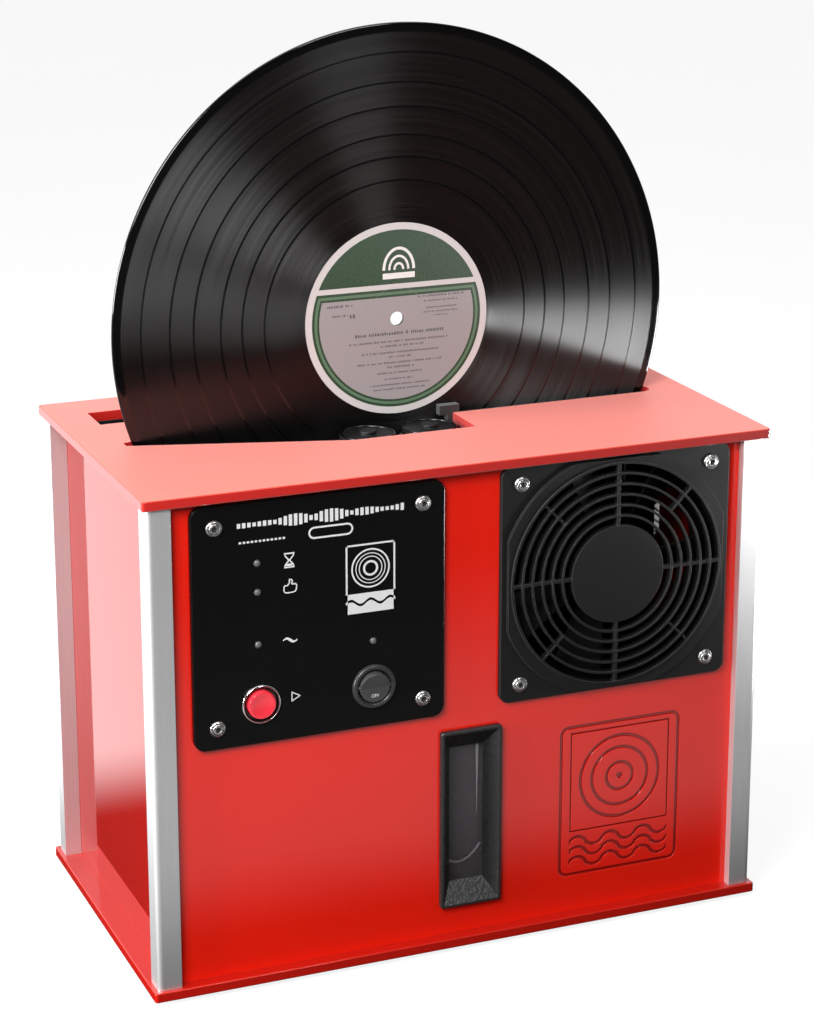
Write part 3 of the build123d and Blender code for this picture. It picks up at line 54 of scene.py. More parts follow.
log = logging.getLogger("record_cleaner")
Colour = tuple[float, float, float]
Socket = bpy.types.NodeSocket
Value = Union[float, int, tuple, Socket]

WHITE = (1.0, 1.0, 1.0)
FACE = 86.0
CONTROL_FACE = 89.0
RECORD_CENTRE = (0.0, 3.3, 310.3)
RECORD_RADIUS = 150.8
LABEL_FACE = 0.985          # paper's face from the record's middle plane
CONTROL_CENTRE = (-76.9, 190.3)
CONTROL_SCREW_PITCH = (106.6, 101.0)
GUARD_CENTRE = (81.8, 191.6)
GUARD_SCREW_PITCH = (105.0, 105.0)
GUARD_SEAT = FACE + 2.5
WINDOW_CENTRE = (3.4, 71.2)
PRINT_THICK = 0.06
PRINT_SINK = 0.02           # print starts this far under its face
LABEL_PRINT_THICK = 0.012


# ------------------------------------------------------------------ places and shapes
class Facing(Enum):
    """Which way a piece looks: rows are its u (right), v (up) and w (outwards) in the machine's frame."""

    FRONT = ((1, 0, 0), (0, 0, 1), (0, -1, 0))
    REAR = ((-1, 0, 0), (0, 0, 1), (0, 1, 0))
    UP = ((1, 0, 0), (0, 1, 0), (0, 0, 1))


@dataclass(frozen=True)
class Place:
    """Origin of a piece in millimetres and the way it faces."""

    x: float
    y: float
    z: float
    facing: Facing = Facing.FRONT

    def world(self, local: np.ndarray) -> np.ndarray:
        """Turns local points into the machine's frame.

        Args:
            local: points (n, 3) in millimetres along u, v and w.

        Returns:
            Points (n, 3) in metres: origin plus each coordinate times its row of the facing.
        """
        rows = np.array(self.facing.value, float)
        return (np.array([self.x, self.y, self.z]) + local @ rows) / 1000.0


def front(x: float, z: float, depth: float) -> Place:
    """A place on the front, depth millimetres before the machine's middle."""
    return Place(x, -depth, z, Facing.FRONT)


def rear(x: float, z: float, depth: float) -> Place:
    """A place on the rear, depth millimetres behind the machine's middle."""
    return Place(x, depth, z, Facing.REAR)


RECORD_FRONT = Place(*RECORD_CENTRE, Facing.FRONT)
RECORD_REAR = Place(*RECORD_CENTRE, Facing.REAR)


@dataclass
class Shape:
    """Points (n, 3) in local millimetres and faces as lists of point numbers."""

    points: np.ndarray
    faces: list[list[int]]

    @staticmethod
    def joined(shapes: Iterable["Shape"]) -> "Shape":
        """One shape from several, with their face numbers moved along."""
        points, faces, start = [], [], 0
        for shape in shapes:
            points.append(shape.points)
            faces += [[k + start for k in face] for face in shape.faces]
            start += len(shape.points)
        return Shape(np.concatenate(points), faces)

    def moved(self, u: float = 0.0, v: float = 0.0, w: float = 0.0) -> "Shape":
        """The same shape shifted along its own axes."""
        return Shape(self.points + np.array([u, v, w]), self.faces)


def skin(rings: np.ndarray, wrap_rings: bool = False, wrap_points: bool = True, caps: bool = False) -> Shape:
    """Quads between neighbouring rings of points.

    Args:
        rings: array (m, n, 3); ring i is joined to ring i + 1, point j to point j + 1.
        wrap_rings: joins the last ring to the first.
        wrap_points: joins the last point of each ring to its first.
        caps: closes the first and the last ring with one face each.

    Returns:
        The shape, its points numbered i * n + j.
    """
    m, n = rings.shape[:2]
    i = np.arange(m if wrap_rings else m - 1)[:, None]
    j = np.arange(n if wrap_points else n - 1)[None, :]
    after_i, after_j = (i + 1) % m, (j + 1) % n
    quads = np.stack([i * n + j, i * n + after_j, after_i * n + after_j, after_i * n + j], -1)
    faces = quads.reshape(-1, 4).tolist()
    if caps:
        faces += [list(range(n))[::-1], list(range((m - 1) * n, m * n))]
    return Shape(rings.reshape(-1, 3).astype(float), faces)


def revolve(profile: Sequence[tuple[float, float]], segments: int = 96, closed: bool = False,
            shape_of: Callable[[np.ndarray, np.ndarray], np.ndarray] | None = None) -> Shape:
    """Turns a profile about w: the point (r, h) at angle t lies at (r cos t, r sin t, h).

    Args:
        profile: (radius, height) pairs; a radius of 0 makes a pole.
        segments: steps of the turn.
        closed: joins the profile's end to its start, for rings.
        shape_of: gives new radii from radii (m, 1) and angles (1, n), for sockets and knurls.
    """
    rh = np.array(profile, float)
    t = np.linspace(0, 2 * np.pi, segments, endpoint=False)[None, :]
    r = np.repeat(rh[:, :1], segments, axis=1)
    if shape_of is not None:
        r = shape_of(r, t)
    rings = np.stack([r * np.cos(t), r * np.sin(t), np.repeat(rh[:, 1:], segments, axis=1)], -1)
    return skin(rings, wrap_rings=closed)


def rounded_outline(width: float, height: float, radius: float, corner: int = 8) -> np.ndarray:
    """Rounded rectangle: each corner's centre plus radius times the unit circle's quarter.

    Returns:
        Points (4 * corner, 2), counter-clockwise.
    """
    radius = max(radius, 0.01)
    turn = np.linspace(0, np.pi / 2, corner)[None, :] + np.arange(4)[:, None] * np.pi / 2
    signs = np.array([(1, 1), (-1, 1), (-1, -1), (1, -1)], float)
    centres = signs * (np.array([width, height]) / 2 - radius)
    arc = np.stack([np.cos(turn), np.sin(turn)], -1) * radius
    return (centres[:, None, :] + arc).reshape(-1, 2)


def smooth_loop(points: Sequence[tuple[float, float]], steps: int = 6) -> np.ndarray:
    """Closed Catmull-Rom curve through points: each span blends its four neighbours by cubic weights."""
    p = np.array(points, float)
    t = np.linspace(0, 1, steps, endpoint=False)[:, None]
    spans = [b + ((c - a) * t + (2 * a - 5 * b + 4 * c - d) * t ** 2 + (3 * b - a - 3 * c + d) * t ** 3) / 2
             for a, b, c, d in zip(np.roll(p, 1, 0), p, np.roll(p, -1, 0), np.roll(p, -2, 0))]
    return np.concatenate(spans)


def strip(first: np.ndarray, second: np.ndarray, closed: bool = False, thick: float = PRINT_THICK) -> Shape:
    """A flat band of print between two lines of points (n, 2), sunk a little under its face."""
    low, high = np.full((len(first), 1), -PRINT_SINK), np.full((len(first), 1), thick)
    ring = [np.hstack(pair) for pair in ((first, low), (second, low), (second, high), (first, high))]
    return skin(np.stack(ring, 1), wrap_rings=closed, caps=not closed)


def ribbon(points: np.ndarray, width: Union[float, np.ndarray], closed: bool = False,
           thick: float = PRINT_THICK) -> Shape:
    """A flat stroke: each point of a line moved half the width to both sides along its normal.

    Args:
        points: the line (n, 2).
        width: stroke width, one number or one per point.
        closed: joins the end to the start.
        thick: height of the stroke above its face.
    """
    p = np.asarray(points, float)
    along = np.roll(p, -1, 0) - np.roll(p, 1, 0) if closed else np.gradient(p, axis=0)
    along /= np.linalg.norm(along, axis=1, keepdims=True) + 1e-12
    half = np.broadcast_to(np.asarray(width, float) / 2, len(p))[:, None]
    side = np.stack([-along[:, 1], along[:, 0]], -1) * half
    return strip(p + side, p - side, closed, thick)


def bars(boxes: np.ndarray, thick: float = PRINT_THICK) -> Shape:
    """Flat printed blocks.

    Args:
        boxes: array (n, 4) of left, right, bottom and top.
        thick: height above the face.
    """
    b = np.asarray(boxes, float)
    u = b[:, [0, 1, 1, 0, 0, 1, 1, 0]]
    v = b[:, [2, 2, 3, 3, 2, 2, 3, 3]]
    w = np.repeat(np.array([[-PRINT_SINK] * 4 + [thick] * 4]), len(b), 0)
    sides = np.array([[3, 2, 1, 0], [4, 5, 6, 7], [0, 1, 5, 4], [1, 2, 6, 5], [2, 3, 7, 6], [3, 0, 4, 7]])
    faces = (sides[None] + 8 * np.arange(len(b))[:, None, None]).reshape(-1, 4).tolist()
    return Shape(np.stack([u, v, w], -1).reshape(-1, 3), faces)


def circle_line(radius: float, u: float = 0.0, v: float = 0.0, count: int = 72) -> np.ndarray:
    """Points of a circle about (u, v)."""
    t = np.linspace(0, 2 * np.pi, count, endpoint=False)
    return np.column_stack([u + radius * np.cos(t), v + radius * np.sin(t)])


def add_object(name: str, data: bpy.types.ID) -> bpy.types.Object:
    """A new object in the scene."""
    made = bpy.data.objects.new(name, data)
    bpy.context.scene.collection.objects.link(made)
    return made


def make_piece(name: str, shape: Shape, place: Place, finish: "Finish", body: str = "case",
               sharp: float = 38.0, replaces: Sequence[str] = ()) -> bpy.types.Object:
    """Puts a shape into the scene as one object that rides on a body.

    Args:
        name: piece name.
        shape: local points and faces.
        place: where it stands.
        finish: its material.
        body: the body that carries it.
        sharp: edges steeper than this many degrees stay crisp.
        replaces: frame nodes that it stands for.

    Returns:
        The new object, at the origin, with its place in its mesh.
    """
    mesh = bpy.data.meshes.new(name)
    mesh.from_pydata(place.world(shape.points).tolist(), [], shape.faces)
    work = bmesh.new()
    work.from_mesh(mesh)
    bmesh.ops.remove_doubles(work, verts=work.verts, dist=1e-7)
    bmesh.ops.recalc_face_normals(work, faces=work.faces)
    work.to_mesh(mesh)
    work.free()
    return finish_piece(name, mesh, finish, body, sharp, replaces)


def finish_piece(name: str, mesh: bpy.types.Mesh, finish: "Finish", body: str, sharp: float = 38.0,
                 replaces: Sequence[str] = ()) -> bpy.types.Object:
    """Shades a mesh, gives it its material and lets it ride; arguments as in make_piece."""
    mesh.polygons.foreach_set("use_smooth", np.ones(len(mesh.polygons), bool))
    mesh.set_sharp_from_angle(angle=radians(sharp))
    mesh.materials.append(finish.material())
    piece = add_object(name, mesh)
    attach(piece, body)
    if replaces:
        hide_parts(*replaces)
    log.info("%s: %d faces on %s", name, len(mesh.polygons), body)
    return piece


# ------------------------------------------------------------------ node trees
class Graph:
    """Adds and joins nodes of one tree in short calls."""

    def __init__(self, tree: bpy.types.NodeTree) -> None:
        """Keeps the tree."""
        self.tree = tree

    def node(self, kind: str, inputs: dict[Union[str, int], Value] | None = None,
             **props: object) -> bpy.types.Node:
        """One node with its properties and inputs.

        Args:
            kind: Blender's node type.
            inputs: socket name or number to a constant or to a socket that feeds it.
            props: plain properties of the node.
        """
        made = self.tree.nodes.new(kind)
        for key, value in props.items():
            setattr(made, key, value)
        for key, value in (inputs or {}).items():
            self.feed(made.inputs[key], value)
        return made

    def feed(self, target: Socket, value: Value) -> None:
        """Links a socket to another, or sets its constant."""
        if isinstance(value, bpy.types.NodeSocket):
            self.tree.links.new(value, target)
        elif isinstance(value, tuple) and len(value) == 3 and target.type == "RGBA":
            target.default_value = (*value, 1.0)
        else:
            target.default_value = value

    def math(self, operation: str, a: Value, b: Value = 0.0, c: Value = 0.0, clamp: bool = False) -> Socket:
        """One arithmetic step on one, two or three values."""
        made = self.node("ShaderNodeMath", {0: a, 1: b, 2: c}, operation=operation, use_clamp=clamp)
        return made.outputs[0]

    def remap(self, value: Value, low: float, high: float, to_low: Value = 0.0,
              to_high: Value = 1.0) -> Socket:
        """A smooth step of value from low to high, given between two other values."""
        sockets = {"Value": value, "From Min": low, "From Max": high, "To Min": to_low, "To Max": to_high}
        return self.node("ShaderNodeMapRange", sockets, interpolation_type="SMOOTHSTEP").outputs[0]

    def blend(self, share: Value, a: Value, b: Value) -> Socket:
        """Colour a where share is 0 and colour b where it is 1."""
        made = self.node("ShaderNodeMix", data_type="RGBA")
        for target, value in zip((made.inputs[0], made.inputs[6], made.inputs[7]), (share, a, b)):
            self.feed(target, value)
        return made.outputs[2]

    def cover(self, under: Value, over: Value, mask: Value, share: float) -> Socket:
        """Colour over laid on colour under, by share where the mask is 1."""
        return self.blend(self.math("MULTIPLY", mask, share), under, over)

    def noise(self, vector: Socket, scale: float, detail: float = 3.0, rough: float = 0.5) -> Socket:
        """Plain noise between 0 and 1."""
        sockets = {"Vector": vector, "Scale": scale, "Detail": detail, "Roughness": rough}
        return self.node("ShaderNodeTexNoise", sockets).outputs[0]

    def object_point(self) -> Socket:
        """The point's place in metres in the machine's frame."""
        return self.node("ShaderNodeTexCoord").outputs["Object"]

    def axes(self, vector: Socket) -> tuple[Socket, Socket, Socket]:
        """The three parts of a vector."""
        made = self.node("ShaderNodeSeparateXYZ", {0: vector})
        return made.outputs[0], made.outputs[1], made.outputs[2]

    def scaled(self, vector: Socket, factors: tuple[float, float, float]) -> Socket:
        """A vector with its parts multiplied, to stretch a pattern."""
        return self.node("ShaderNodeVectorMath", {0: vector, 1: factors}, operation="MULTIPLY").outputs[0]

    def bump(self, height: Socket, distance: float, strength: float, normal: Socket | None = None) -> Socket:
        """Normal from a height; distance in metres."""
        made = self.node("ShaderNodeBump", {"Height": height, "Distance": distance, "Strength": strength})
        if normal is not None:
            self.feed(made.inputs["Normal"], normal)
        return made.outputs[0]

    def surface(self, shader: bpy.types.Node, colour: Value, rough: Value, normal: Value) -> None:
        """Feeds a shader's colour, roughness and normal."""
        for name, value in (("Base Color", colour), ("Roughness", rough), ("Normal", normal)):
            self.feed(shader.inputs[name], value)


def fresh_graph(owner: Union[bpy.types.Material, bpy.types.World]) -> Graph:
    """The emptied node tree of a material or a world."""
    owner.use_nodes = True
    owner.node_tree.nodes.clear()
    return Graph(owner.node_tree)


def set_plain(shader: bpy.types.Node, **values: float) -> None:
    """Sets constant inputs of a shader, with underscores for spaces."""
    for key, value in values.items():
        shader.inputs[key.replace("_", " ")].default_value = value


class Effects:
    """Shader node groups that several finishes share, each built once."""

    groups: dict[str, bpy.types.NodeTree] = {}

    @classmethod
    def group(cls, name: str, inputs: dict[str, float], outputs: dict[str, str]) -> tuple[Graph, dict, dict]:
        """Starts an empty group.

        Args:
            name: group name.
            inputs: input names and their usual values.
            outputs: output names and their socket types.

        Returns:
            Its graph, its inputs as sockets inside, and its output sockets inside.
        """
        tree = bpy.data.node_groups.new(name, "ShaderNodeTree")
        for key, usual in inputs.items():
            made = tree.interface.new_socket(key, in_out="INPUT", socket_type="NodeSocketFloat")
            made.default_value = usual
        for key, kind in outputs.items():
            tree.interface.new_socket(key, in_out="OUTPUT", socket_type=kind)
        graph = Graph(tree)
        cls.groups[name] = tree
        return graph, graph.node("NodeGroupInput").outputs, graph.node("NodeGroupOutput").inputs

    @classmethod
    def use(cls, graph: Graph, name: str, **values: Value) -> bpy.types.Node:
        """Places a group in a material, building it the first time.

        Args:
            graph: the material's graph.
            name: one of the builders below.
            values: its inputs, with underscores for spaces.
        """
        if name not in cls.groups:
            getattr(cls, f"build_{name}")()
        made = graph.node("ShaderNodeGroup", node_tree=cls.groups[name])
        for key, value in values.items():
            graph.feed(made.inputs[key.replace("_", " ")], value)
        return made

    @classmethod
    def build_soft_edges(cls) -> None:
        """Rounds edges in the shading; Edge is how far the rounded normal leans from the flat one."""
        graph, ins, outs = cls.group("soft_edges", {"Radius": 0.0004}, {"Normal": "NodeSocketVector",
                                                                       "Edge": "NodeSocketFloat"})
        bevel = graph.node("ShaderNodeBevel", {"Radius": ins["Radius"]}, samples=4)
        flat = graph.node("ShaderNodeNewGeometry").outputs["Normal"]
        lean = graph.node("ShaderNodeVectorMath", {0: bevel.outputs[0], 1: flat}, operation="DOT_PRODUCT")
        graph.feed(outs["Normal"], bevel.outputs[0])
        graph.feed(outs["Edge"], graph.remap(lean.outputs["Value"], 0.995, 0.80))

    @classmethod
    def build_handling(cls) -> None:
        """Faint wiping marks and dust: a slow cloud, stretched streaks and fine specks."""
        graph, ins, outs = cls.group("handling", {"Amount": 1.0}, {"Mask": "NodeSocketFloat",
                                                                  "Dust": "NodeSocketFloat"})
        point = graph.object_point()
        cloud = graph.noise(point, 9.0, 4.0, 0.6)
        streak = graph.noise(graph.scaled(point, (220.0, 220.0, 14.0)), 1.0, 2.0)
        both = graph.math("MULTIPLY", graph.remap(cloud, 0.35, 0.75), graph.remap(streak, 0.30, 0.80))
        specks = graph.noise(point, 1900.0, 1.0)
        graph.feed(outs["Mask"], graph.math("MULTIPLY", both, ins["Amount"], clamp=True))
        graph.feed(outs["Dust"], graph.math("MULTIPLY", graph.remap(specks, 0.70, 0.80), ins["Amount"]))

    @classmethod
    def build_moulded(cls) -> None:
        """Spark-eroded mould texture: fine noise over slower flow marks, as a height and a mask."""
        graph, ins, outs = cls.group("moulded", {"Scale": 1500.0}, {"Height": "NodeSocketFloat",
                                                                   "Flow": "NodeSocketFloat"})
        point = graph.object_point()
        fine = graph.node("ShaderNodeTexNoise", {"Vector": point, "Scale": ins["Scale"], "Detail": 2.0})
        flow = graph.noise(graph.scaled(point, (30.0, 30.0, 60.0)), 1.0, 4.0, 0.6)
        graph.feed(outs["Height"], fine.outputs[0])
        graph.feed(outs["Flow"], graph.remap(flow, 0.3, 0.7))

    @classmethod
    def build_hairline(cls) -> None:
        """Long drawn lines along the machine's height, across it and along its depth."""
        graph, ins, outs = cls.group("hairline", {"Along X": 1.0, "Along Y": 1.0, "Along Z": 0.02},
                                     {"Height": "NodeSocketFloat"})
        parts = {0: ins["Along X"], 1: ins["Along Y"], 2: ins["Along Z"]}
        stretch = graph.node("ShaderNodeCombineXYZ", parts)
        point = graph.node("ShaderNodeVectorMath", {0: graph.object_point(), 1: stretch.outputs[0]},
                           operation="MULTIPLY").outputs[0]
        coarse, fine = graph.noise(point, 1400.0, 2.0), graph.noise(point, 4200.0, 1.0)
        graph.feed(outs["Height"], graph.math("MULTIPLY_ADD", fine, 0.4, graph.math("MULTIPLY", coarse, 0.6)))


# ------------------------------------------------------------------ finishes
@dataclass(frozen=True)
class Finish:
    """A material: its name, main colour and roughness. Each kind adds its own nodes in dress()."""

    name: str
    colour: Colour
    rough: float = 0.4
    edge: float = 0.0004

    @cache
    def material(self) -> bpy.types.Material:
        """The material, built the first time it is asked for."""
        made = bpy.data.materials.new(self.name)
        graph = fresh_graph(made)
        shader = graph.node("ShaderNodeBsdfPrincipled", {"Base Color": self.colour, "Roughness": self.rough})
        graph.node("ShaderNodeOutputMaterial", {"Surface": shader.outputs[0]})
        self.dress(graph, shader)
        return made

    def dress(self, graph: Graph, shader: bpy.types.Node) -> None:
        """Adds the finish's own detail to the shader."""
        raise NotImplementedError

    def edges(self, graph: Graph) -> bpy.types.Node:
        """The shared edge rounding with this finish's radius."""
        return Effects.use(graph, "soft_edges", Radius=self.edge)

    def tint(self, factor: float) -> Colour:
        """The main colour made darker or brighter."""
        return tuple(min(1.0, part * factor) for part in self.colour)


@dataclass(frozen=True)
class RedSheet(Finish):
    """Polished red acrylic sheet; its upward faces are wiped to a satin."""

    satin: float = 0.05
    # cut: colour for faces that don't face up; on the top plate a darker red, painted shade on its side faces
    cut: Colour | None = None
    # darkens the floors of the engraved lines as painted shade
    painted_groove_shade: bool = False
    coat: float = 0.6
    sheen: float = 0.0

    def dress(self, graph: Graph, shader: bpy.types.Node) -> None:
        """Slow cast-sheet tone, painted highlight on the rounded edges, painted shade on the side faces when
        cut is set, wiping marks in the gloss and painted shade in the engraved lines.
        """
        edge, marks = self.edges(graph), Effects.use(graph, "handling", Amount=1.0)
        point = graph.object_point()
        tone = graph.remap(graph.noise(point, 5.0, 2.0), 0.3, 0.7)
        colour = graph.blend(tone, self.colour, self.tint(0.93))
        facing = graph.axes(graph.node("ShaderNodeNewGeometry").outputs["Normal"])[2]
        # faces that don't face up take the cut colour: painted shade on the side faces
        if self.cut:
            colour = graph.blend(graph.remap(facing, 0.5, 0.9), self.cut, colour)
        # rounded edges coloured a brighter red: painted highlight
        colour = graph.cover(colour, (0.95, 0.10, 0.06), edge.outputs["Edge"], 0.45)
        colour = graph.cover(colour, (0.95, 0.62, 0.58), marks.outputs["Dust"], 0.10)
        if self.painted_groove_shade:
            # floors of the engraved lines darkened: painted shade in the grooves
            floor = graph.remap(graph.axes(point)[1], -0.08585, -0.08545)
            colour = graph.cover(colour, (0.16, 0.004, 0.004), floor, 0.72)
        upward = graph.remap(facing, 0.90, 0.99, self.rough, self.satin)
        worn = graph.math("MULTIPLY_ADD", marks.outputs["Mask"], 0.07, upward)
        ripple = graph.bump(graph.noise(point, 26.0, 1.0), 0.0004, 0.08, edge.outputs["Normal"])
        graph.surface(shader, colour, worn, ripple)
        graph.feed(shader.inputs["Coat Normal"], edge.outputs["Normal"])
        set_plain(shader, Coat_Weight=self.coat, Coat_Roughness=max(self.satin * 0.8, 0.03))
        set_plain(shader, Sheen_Weight=self.sheen, Sheen_Roughness=0.45)
        set_plain(shader, Subsurface_Weight=0.06, Subsurface_Scale=0.004)


@dataclass(frozen=True)
class DrawnMetal(Finish):
    """Extruded or turned metal with hairlines; lines says how they are squeezed along X, Y and Z."""

    lines: tuple[float, float, float] = (1.0, 1.0, 0.02)
    metal: float = 1.0
    depth: float = 0.00002

    def dress(self, graph: Graph, shader: bpy.types.Node) -> None:
        """Hairline bump and roughness, edges painted brighter as a painted highlight, and a faint handling
        haze.
        """
        edge, marks = self.edges(graph), Effects.use(graph, "handling", Amount=0.8)
        x, y, z = self.lines
        hair = Effects.use(graph, "hairline", Along_X=x, Along_Y=y, Along_Z=z).outputs[0]
        tone = graph.remap(hair, 0.3, 0.7, 0.0, 0.5)
        colour = graph.blend(tone, self.colour, self.tint(0.86))
        # edges coloured brighter: painted highlight
        colour = graph.cover(colour, self.tint(1.25), edge.outputs["Edge"], 0.6)
        rough = graph.math("MULTIPLY_ADD", hair, 0.14, self.rough - 0.07)
        rough = graph.math("MULTIPLY_ADD", marks.outputs["Mask"], 0.08, rough)
        graph.surface(shader, colour, rough, graph.bump(hair, self.depth, 0.5, edge.outputs["Normal"]))
        set_plain(shader, Metallic=self.metal)


@dataclass(frozen=True)
class Moulded(Finish):
    """Moulded plastic or rubber with a fine mould texture and paler edges, partly wear and partly painted
    highlight.
    """

    grain: float = 1500.0
    depth: float = 0.00003
    # worn: colour of the paler edges, partly wear and partly painted highlight
    worn: Colour = (0.12, 0.12, 0.12)
    wear_and_highlight_share: float = 0.5
    sheen: float = 0.0
    mirror: float = 0.5

    def dress(self, graph: Graph, shader: bpy.types.Node) -> None:
        """Grain bump, flow marks in tone and roughness, and paler edges, partly wear and partly painted
        highlight.
        """
        edge, marks = self.edges(graph), Effects.use(graph, "handling", Amount=0.7)
        mould = Effects.use(graph, "moulded", Scale=self.grain)
        colour = graph.blend(mould.outputs["Flow"], self.colour, self.tint(0.80))
        # edges paler: partly wear, partly painted highlight
        colour = graph.cover(colour, self.worn, edge.outputs["Edge"], self.wear_and_highlight_share)
        colour = graph.cover(colour, (0.45, 0.44, 0.42), marks.outputs["Dust"], 0.12)
        rough = graph.math("MULTIPLY_ADD", mould.outputs["Flow"], 0.08, self.rough - 0.04)
        rough = graph.math("MULTIPLY_ADD", marks.outputs["Mask"], -0.06, rough)
        graph.feed(shader.inputs["Base Color"], colour)
        graph.feed(shader.inputs["Roughness"], rough)
        bump = graph.bump(mould.outputs["Height"], self.depth, 0.6, edge.outputs["Normal"])
        graph.feed(shader.inputs["Normal"], bump)
        set_plain(shader, Sheen_Weight=self.sheen, Specular_IOR_Level=self.mirror)


@dataclass(frozen=True)
class LeatherGrain(Finish):
    """Black plastic with a pressed leather grain, as on the window frame."""

    def dress(self, graph: Graph, shader: bpy.types.Node) -> None:
        """Rounded cells with creases between them, broken up by noise; cell tops painted lighter and creases
        darker as painted light and shade, and edges with a painted highlight.
        """
        edge = self.edges(graph)
        point = graph.object_point()
        warp = graph.node("ShaderNodeTexNoise", {"Vector": point, "Scale": 420.0, "Detail": 2.0}).outputs[1]
        bent = graph.node("ShaderNodeVectorMath", {0: warp, 1: (0.0016, 0.0016, 0.0016), 2: point},
                          operation="MULTIPLY_ADD").outputs[0]
        cells = graph.node("ShaderNodeTexVoronoi", {"Vector": bent, "Scale": 720.0}, feature="SMOOTH_F1")
        height = graph.math("MULTIPLY_ADD", graph.noise(point, 2600.0, 2.0), 0.25, cells.outputs[0])
        crease_shade = graph.remap(cells.outputs[0], 0.25, 0.75)
        # cell tops lighter and creases darker: painted light and painted shade
        colour = graph.blend(crease_shade, self.tint(1.5), self.tint(0.55))
        # paler edges: painted highlight
        colour = graph.cover(colour, (0.10, 0.10, 0.10), edge.outputs["Edge"], 0.4)
        rough = graph.remap(crease_shade, 0.0, 1.0, self.rough - 0.08, self.rough + 0.1)
        inverse = graph.math("SUBTRACT", 1.0, height)
        graph.surface(shader, colour, rough, graph.bump(inverse, 0.00018, 0.55, edge.outputs["Normal"]))


@dataclass(frozen=True)
class Polished(Finish):
    """Plated or gloss parts: mirror metal, or gloss plastic when metal is 0."""

    metal: float = 1.0
    coat: float = 0.0
    painted_glow: float = 0.0

    def dress(self, graph: Graph, shader: bpy.types.Node) -> None:
        """Polishing haze and small tone clouds."""
        edge, marks = self.edges(graph), Effects.use(graph, "handling", Amount=0.6)
        point = graph.object_point()
        haze = graph.remap(graph.noise(point, 700.0, 3.0), 0.35, 0.75)
        colour = graph.cover(self.colour, self.tint(0.82), haze, 0.5)
        rough = graph.math("MULTIPLY_ADD", haze, 0.05, self.rough)
        rough = graph.math("MULTIPLY_ADD", marks.outputs["Mask"], 0.06, rough)
        graph.feed(shader.inputs["Base Color"], colour)
        graph.feed(shader.inputs["Roughness"], rough)
        ripple = graph.bump(graph.noise(point, 900.0, 1.0), 0.00001, 0.3, edge.outputs["Normal"])
        graph.feed(shader.inputs["Normal"], ripple)
        set_plain(shader, Metallic=self.metal, Coat_Weight=self.coat)
        # painted glow: emission in the part's own colour, though it is no lamp
        if self.painted_glow:
            graph.feed(shader.inputs["Emission Color"], colour)
            set_plain(shader, Emission_Strength=self.painted_glow)


@dataclass(frozen=True)
class Woven(Finish):
    """Pile or foam: a soft scattered surface of a given pitch, per metre."""

    pitch: float = 900.0
    depth: float = 0.0006

    def dress(self, graph: Graph, shader: bpy.types.Node) -> None:
        """Cells of two sizes as height, with painted shade in the hollows."""
        point = graph.object_point()
        cells = graph.node("ShaderNodeTexVoronoi", {"Vector": point, "Scale": self.pitch}).outputs[0]
        tuft = graph.math("MULTIPLY_ADD", graph.noise(point, self.pitch * 2.4, 2.0), 0.5, cells)
        hollow_shade = graph.remap(tuft, 0.3, 0.9)
        # low parts of the pile darkened: painted shade in the hollows
        graph.surface(shader, graph.blend(hollow_shade, self.colour, self.tint(0.45)),
                      graph.remap(hollow_shade, 0.0, 1.0, self.rough, 1.0),
                      graph.bump(graph.math("SUBTRACT", 1.0, tuft), self.depth, 0.8))
        set_plain(shader, Sheen_Weight=0.4, Sheen_Roughness=0.5)


@dataclass(frozen=True)
class PressedVinyl(Finish):
    """Record surface: cut grooves, silent bands between tracks, glossy lead-in and run-out."""

    silent: tuple[float, ...] = (0.475, 0.552, 0.628, 0.722, 0.804, 0.902)
    silent_step: tuple[tuple[float, float], ...] = ((-0.0045, 1.0), (-0.003, 0.25), (0.003, 0.25),
                                                    (0.0045, 1.0))

    def dress(self, graph: Graph, shader: bpy.types.Node) -> None:
        """Everything follows U of the groove map, which is the radius as a share of the rim's."""
        uv = graph.node("ShaderNodeUVMap", uv_map="groove").outputs[0]
        share, turn, _ = graph.axes(uv)
        ramp = graph.node("ShaderNodeValToRGB", {0: share})
        steps = [(0.0, 0.0), (0.392, 0.0), (0.402, 1.0)]
        for middle in self.silent:
            steps += [(middle + offset, level) for offset, level in self.silent_step]
        steps += [(0.966, 1.0), (0.972, 0.0)]
        for where, level in steps[2:]:
            ramp.color_ramp.elements.new(where).color = (level, level, level, 1)
        ramp.color_ramp.elements[0].color = (0, 0, 0, 1)
        ramp.color_ramp.elements[-1].color = (0, 0, 0, 1)
        cut = ramp.outputs[0]
        along = graph.node("ShaderNodeCombineXYZ", {0: share}).outputs[0]
        bands, fine = graph.noise(along, 95.0, 4.0, 0.65), graph.noise(along, 420.0, 2.0, 0.6)
        arc = graph.node("ShaderNodeCombineXYZ", {0: share, 1: turn}).outputs[0]
        loud = graph.noise(graph.scaled(arc, (60.0, 5.0, 1.0)), 1.0, 3.0)
        level = graph.math("MULTIPLY", graph.remap(graph.math("MULTIPLY", bands, loud), 0.15, 0.42), cut)
        # louder grooved bands coloured lighter: painted sheen of the groove walls
        colour = graph.blend(level, self.colour, self.tint(2.1))
        rough = graph.math("MULTIPLY_ADD", level, 0.12, graph.remap(cut, 0.0, 1.0, 0.11, self.rough))
        height = graph.math("MULTIPLY_ADD", fine, 0.35, graph.math("MULTIPLY", cut, 0.5))
        spiral = graph.math("PINGPONG", graph.math("MULTIPLY_ADD", turn, 0.018, share), 0.0095)
        line = graph.math("MULTIPLY", graph.remap(spiral, 0.0010, 0.0004), graph.remap(share, 0.405, 0.40))
        height = graph.math("SUBTRACT", height, line)
        graph.surface(shader, colour, rough, graph.bump(height, 0.00006, 0.5))
        tangent = graph.node("ShaderNodeTangent", direction_type="UV_MAP", uv_map="groove")
        graph.feed(shader.inputs["Tangent"], tangent.outputs[0])
        set_plain(shader, Anisotropic=1.0, IOR=1.5)


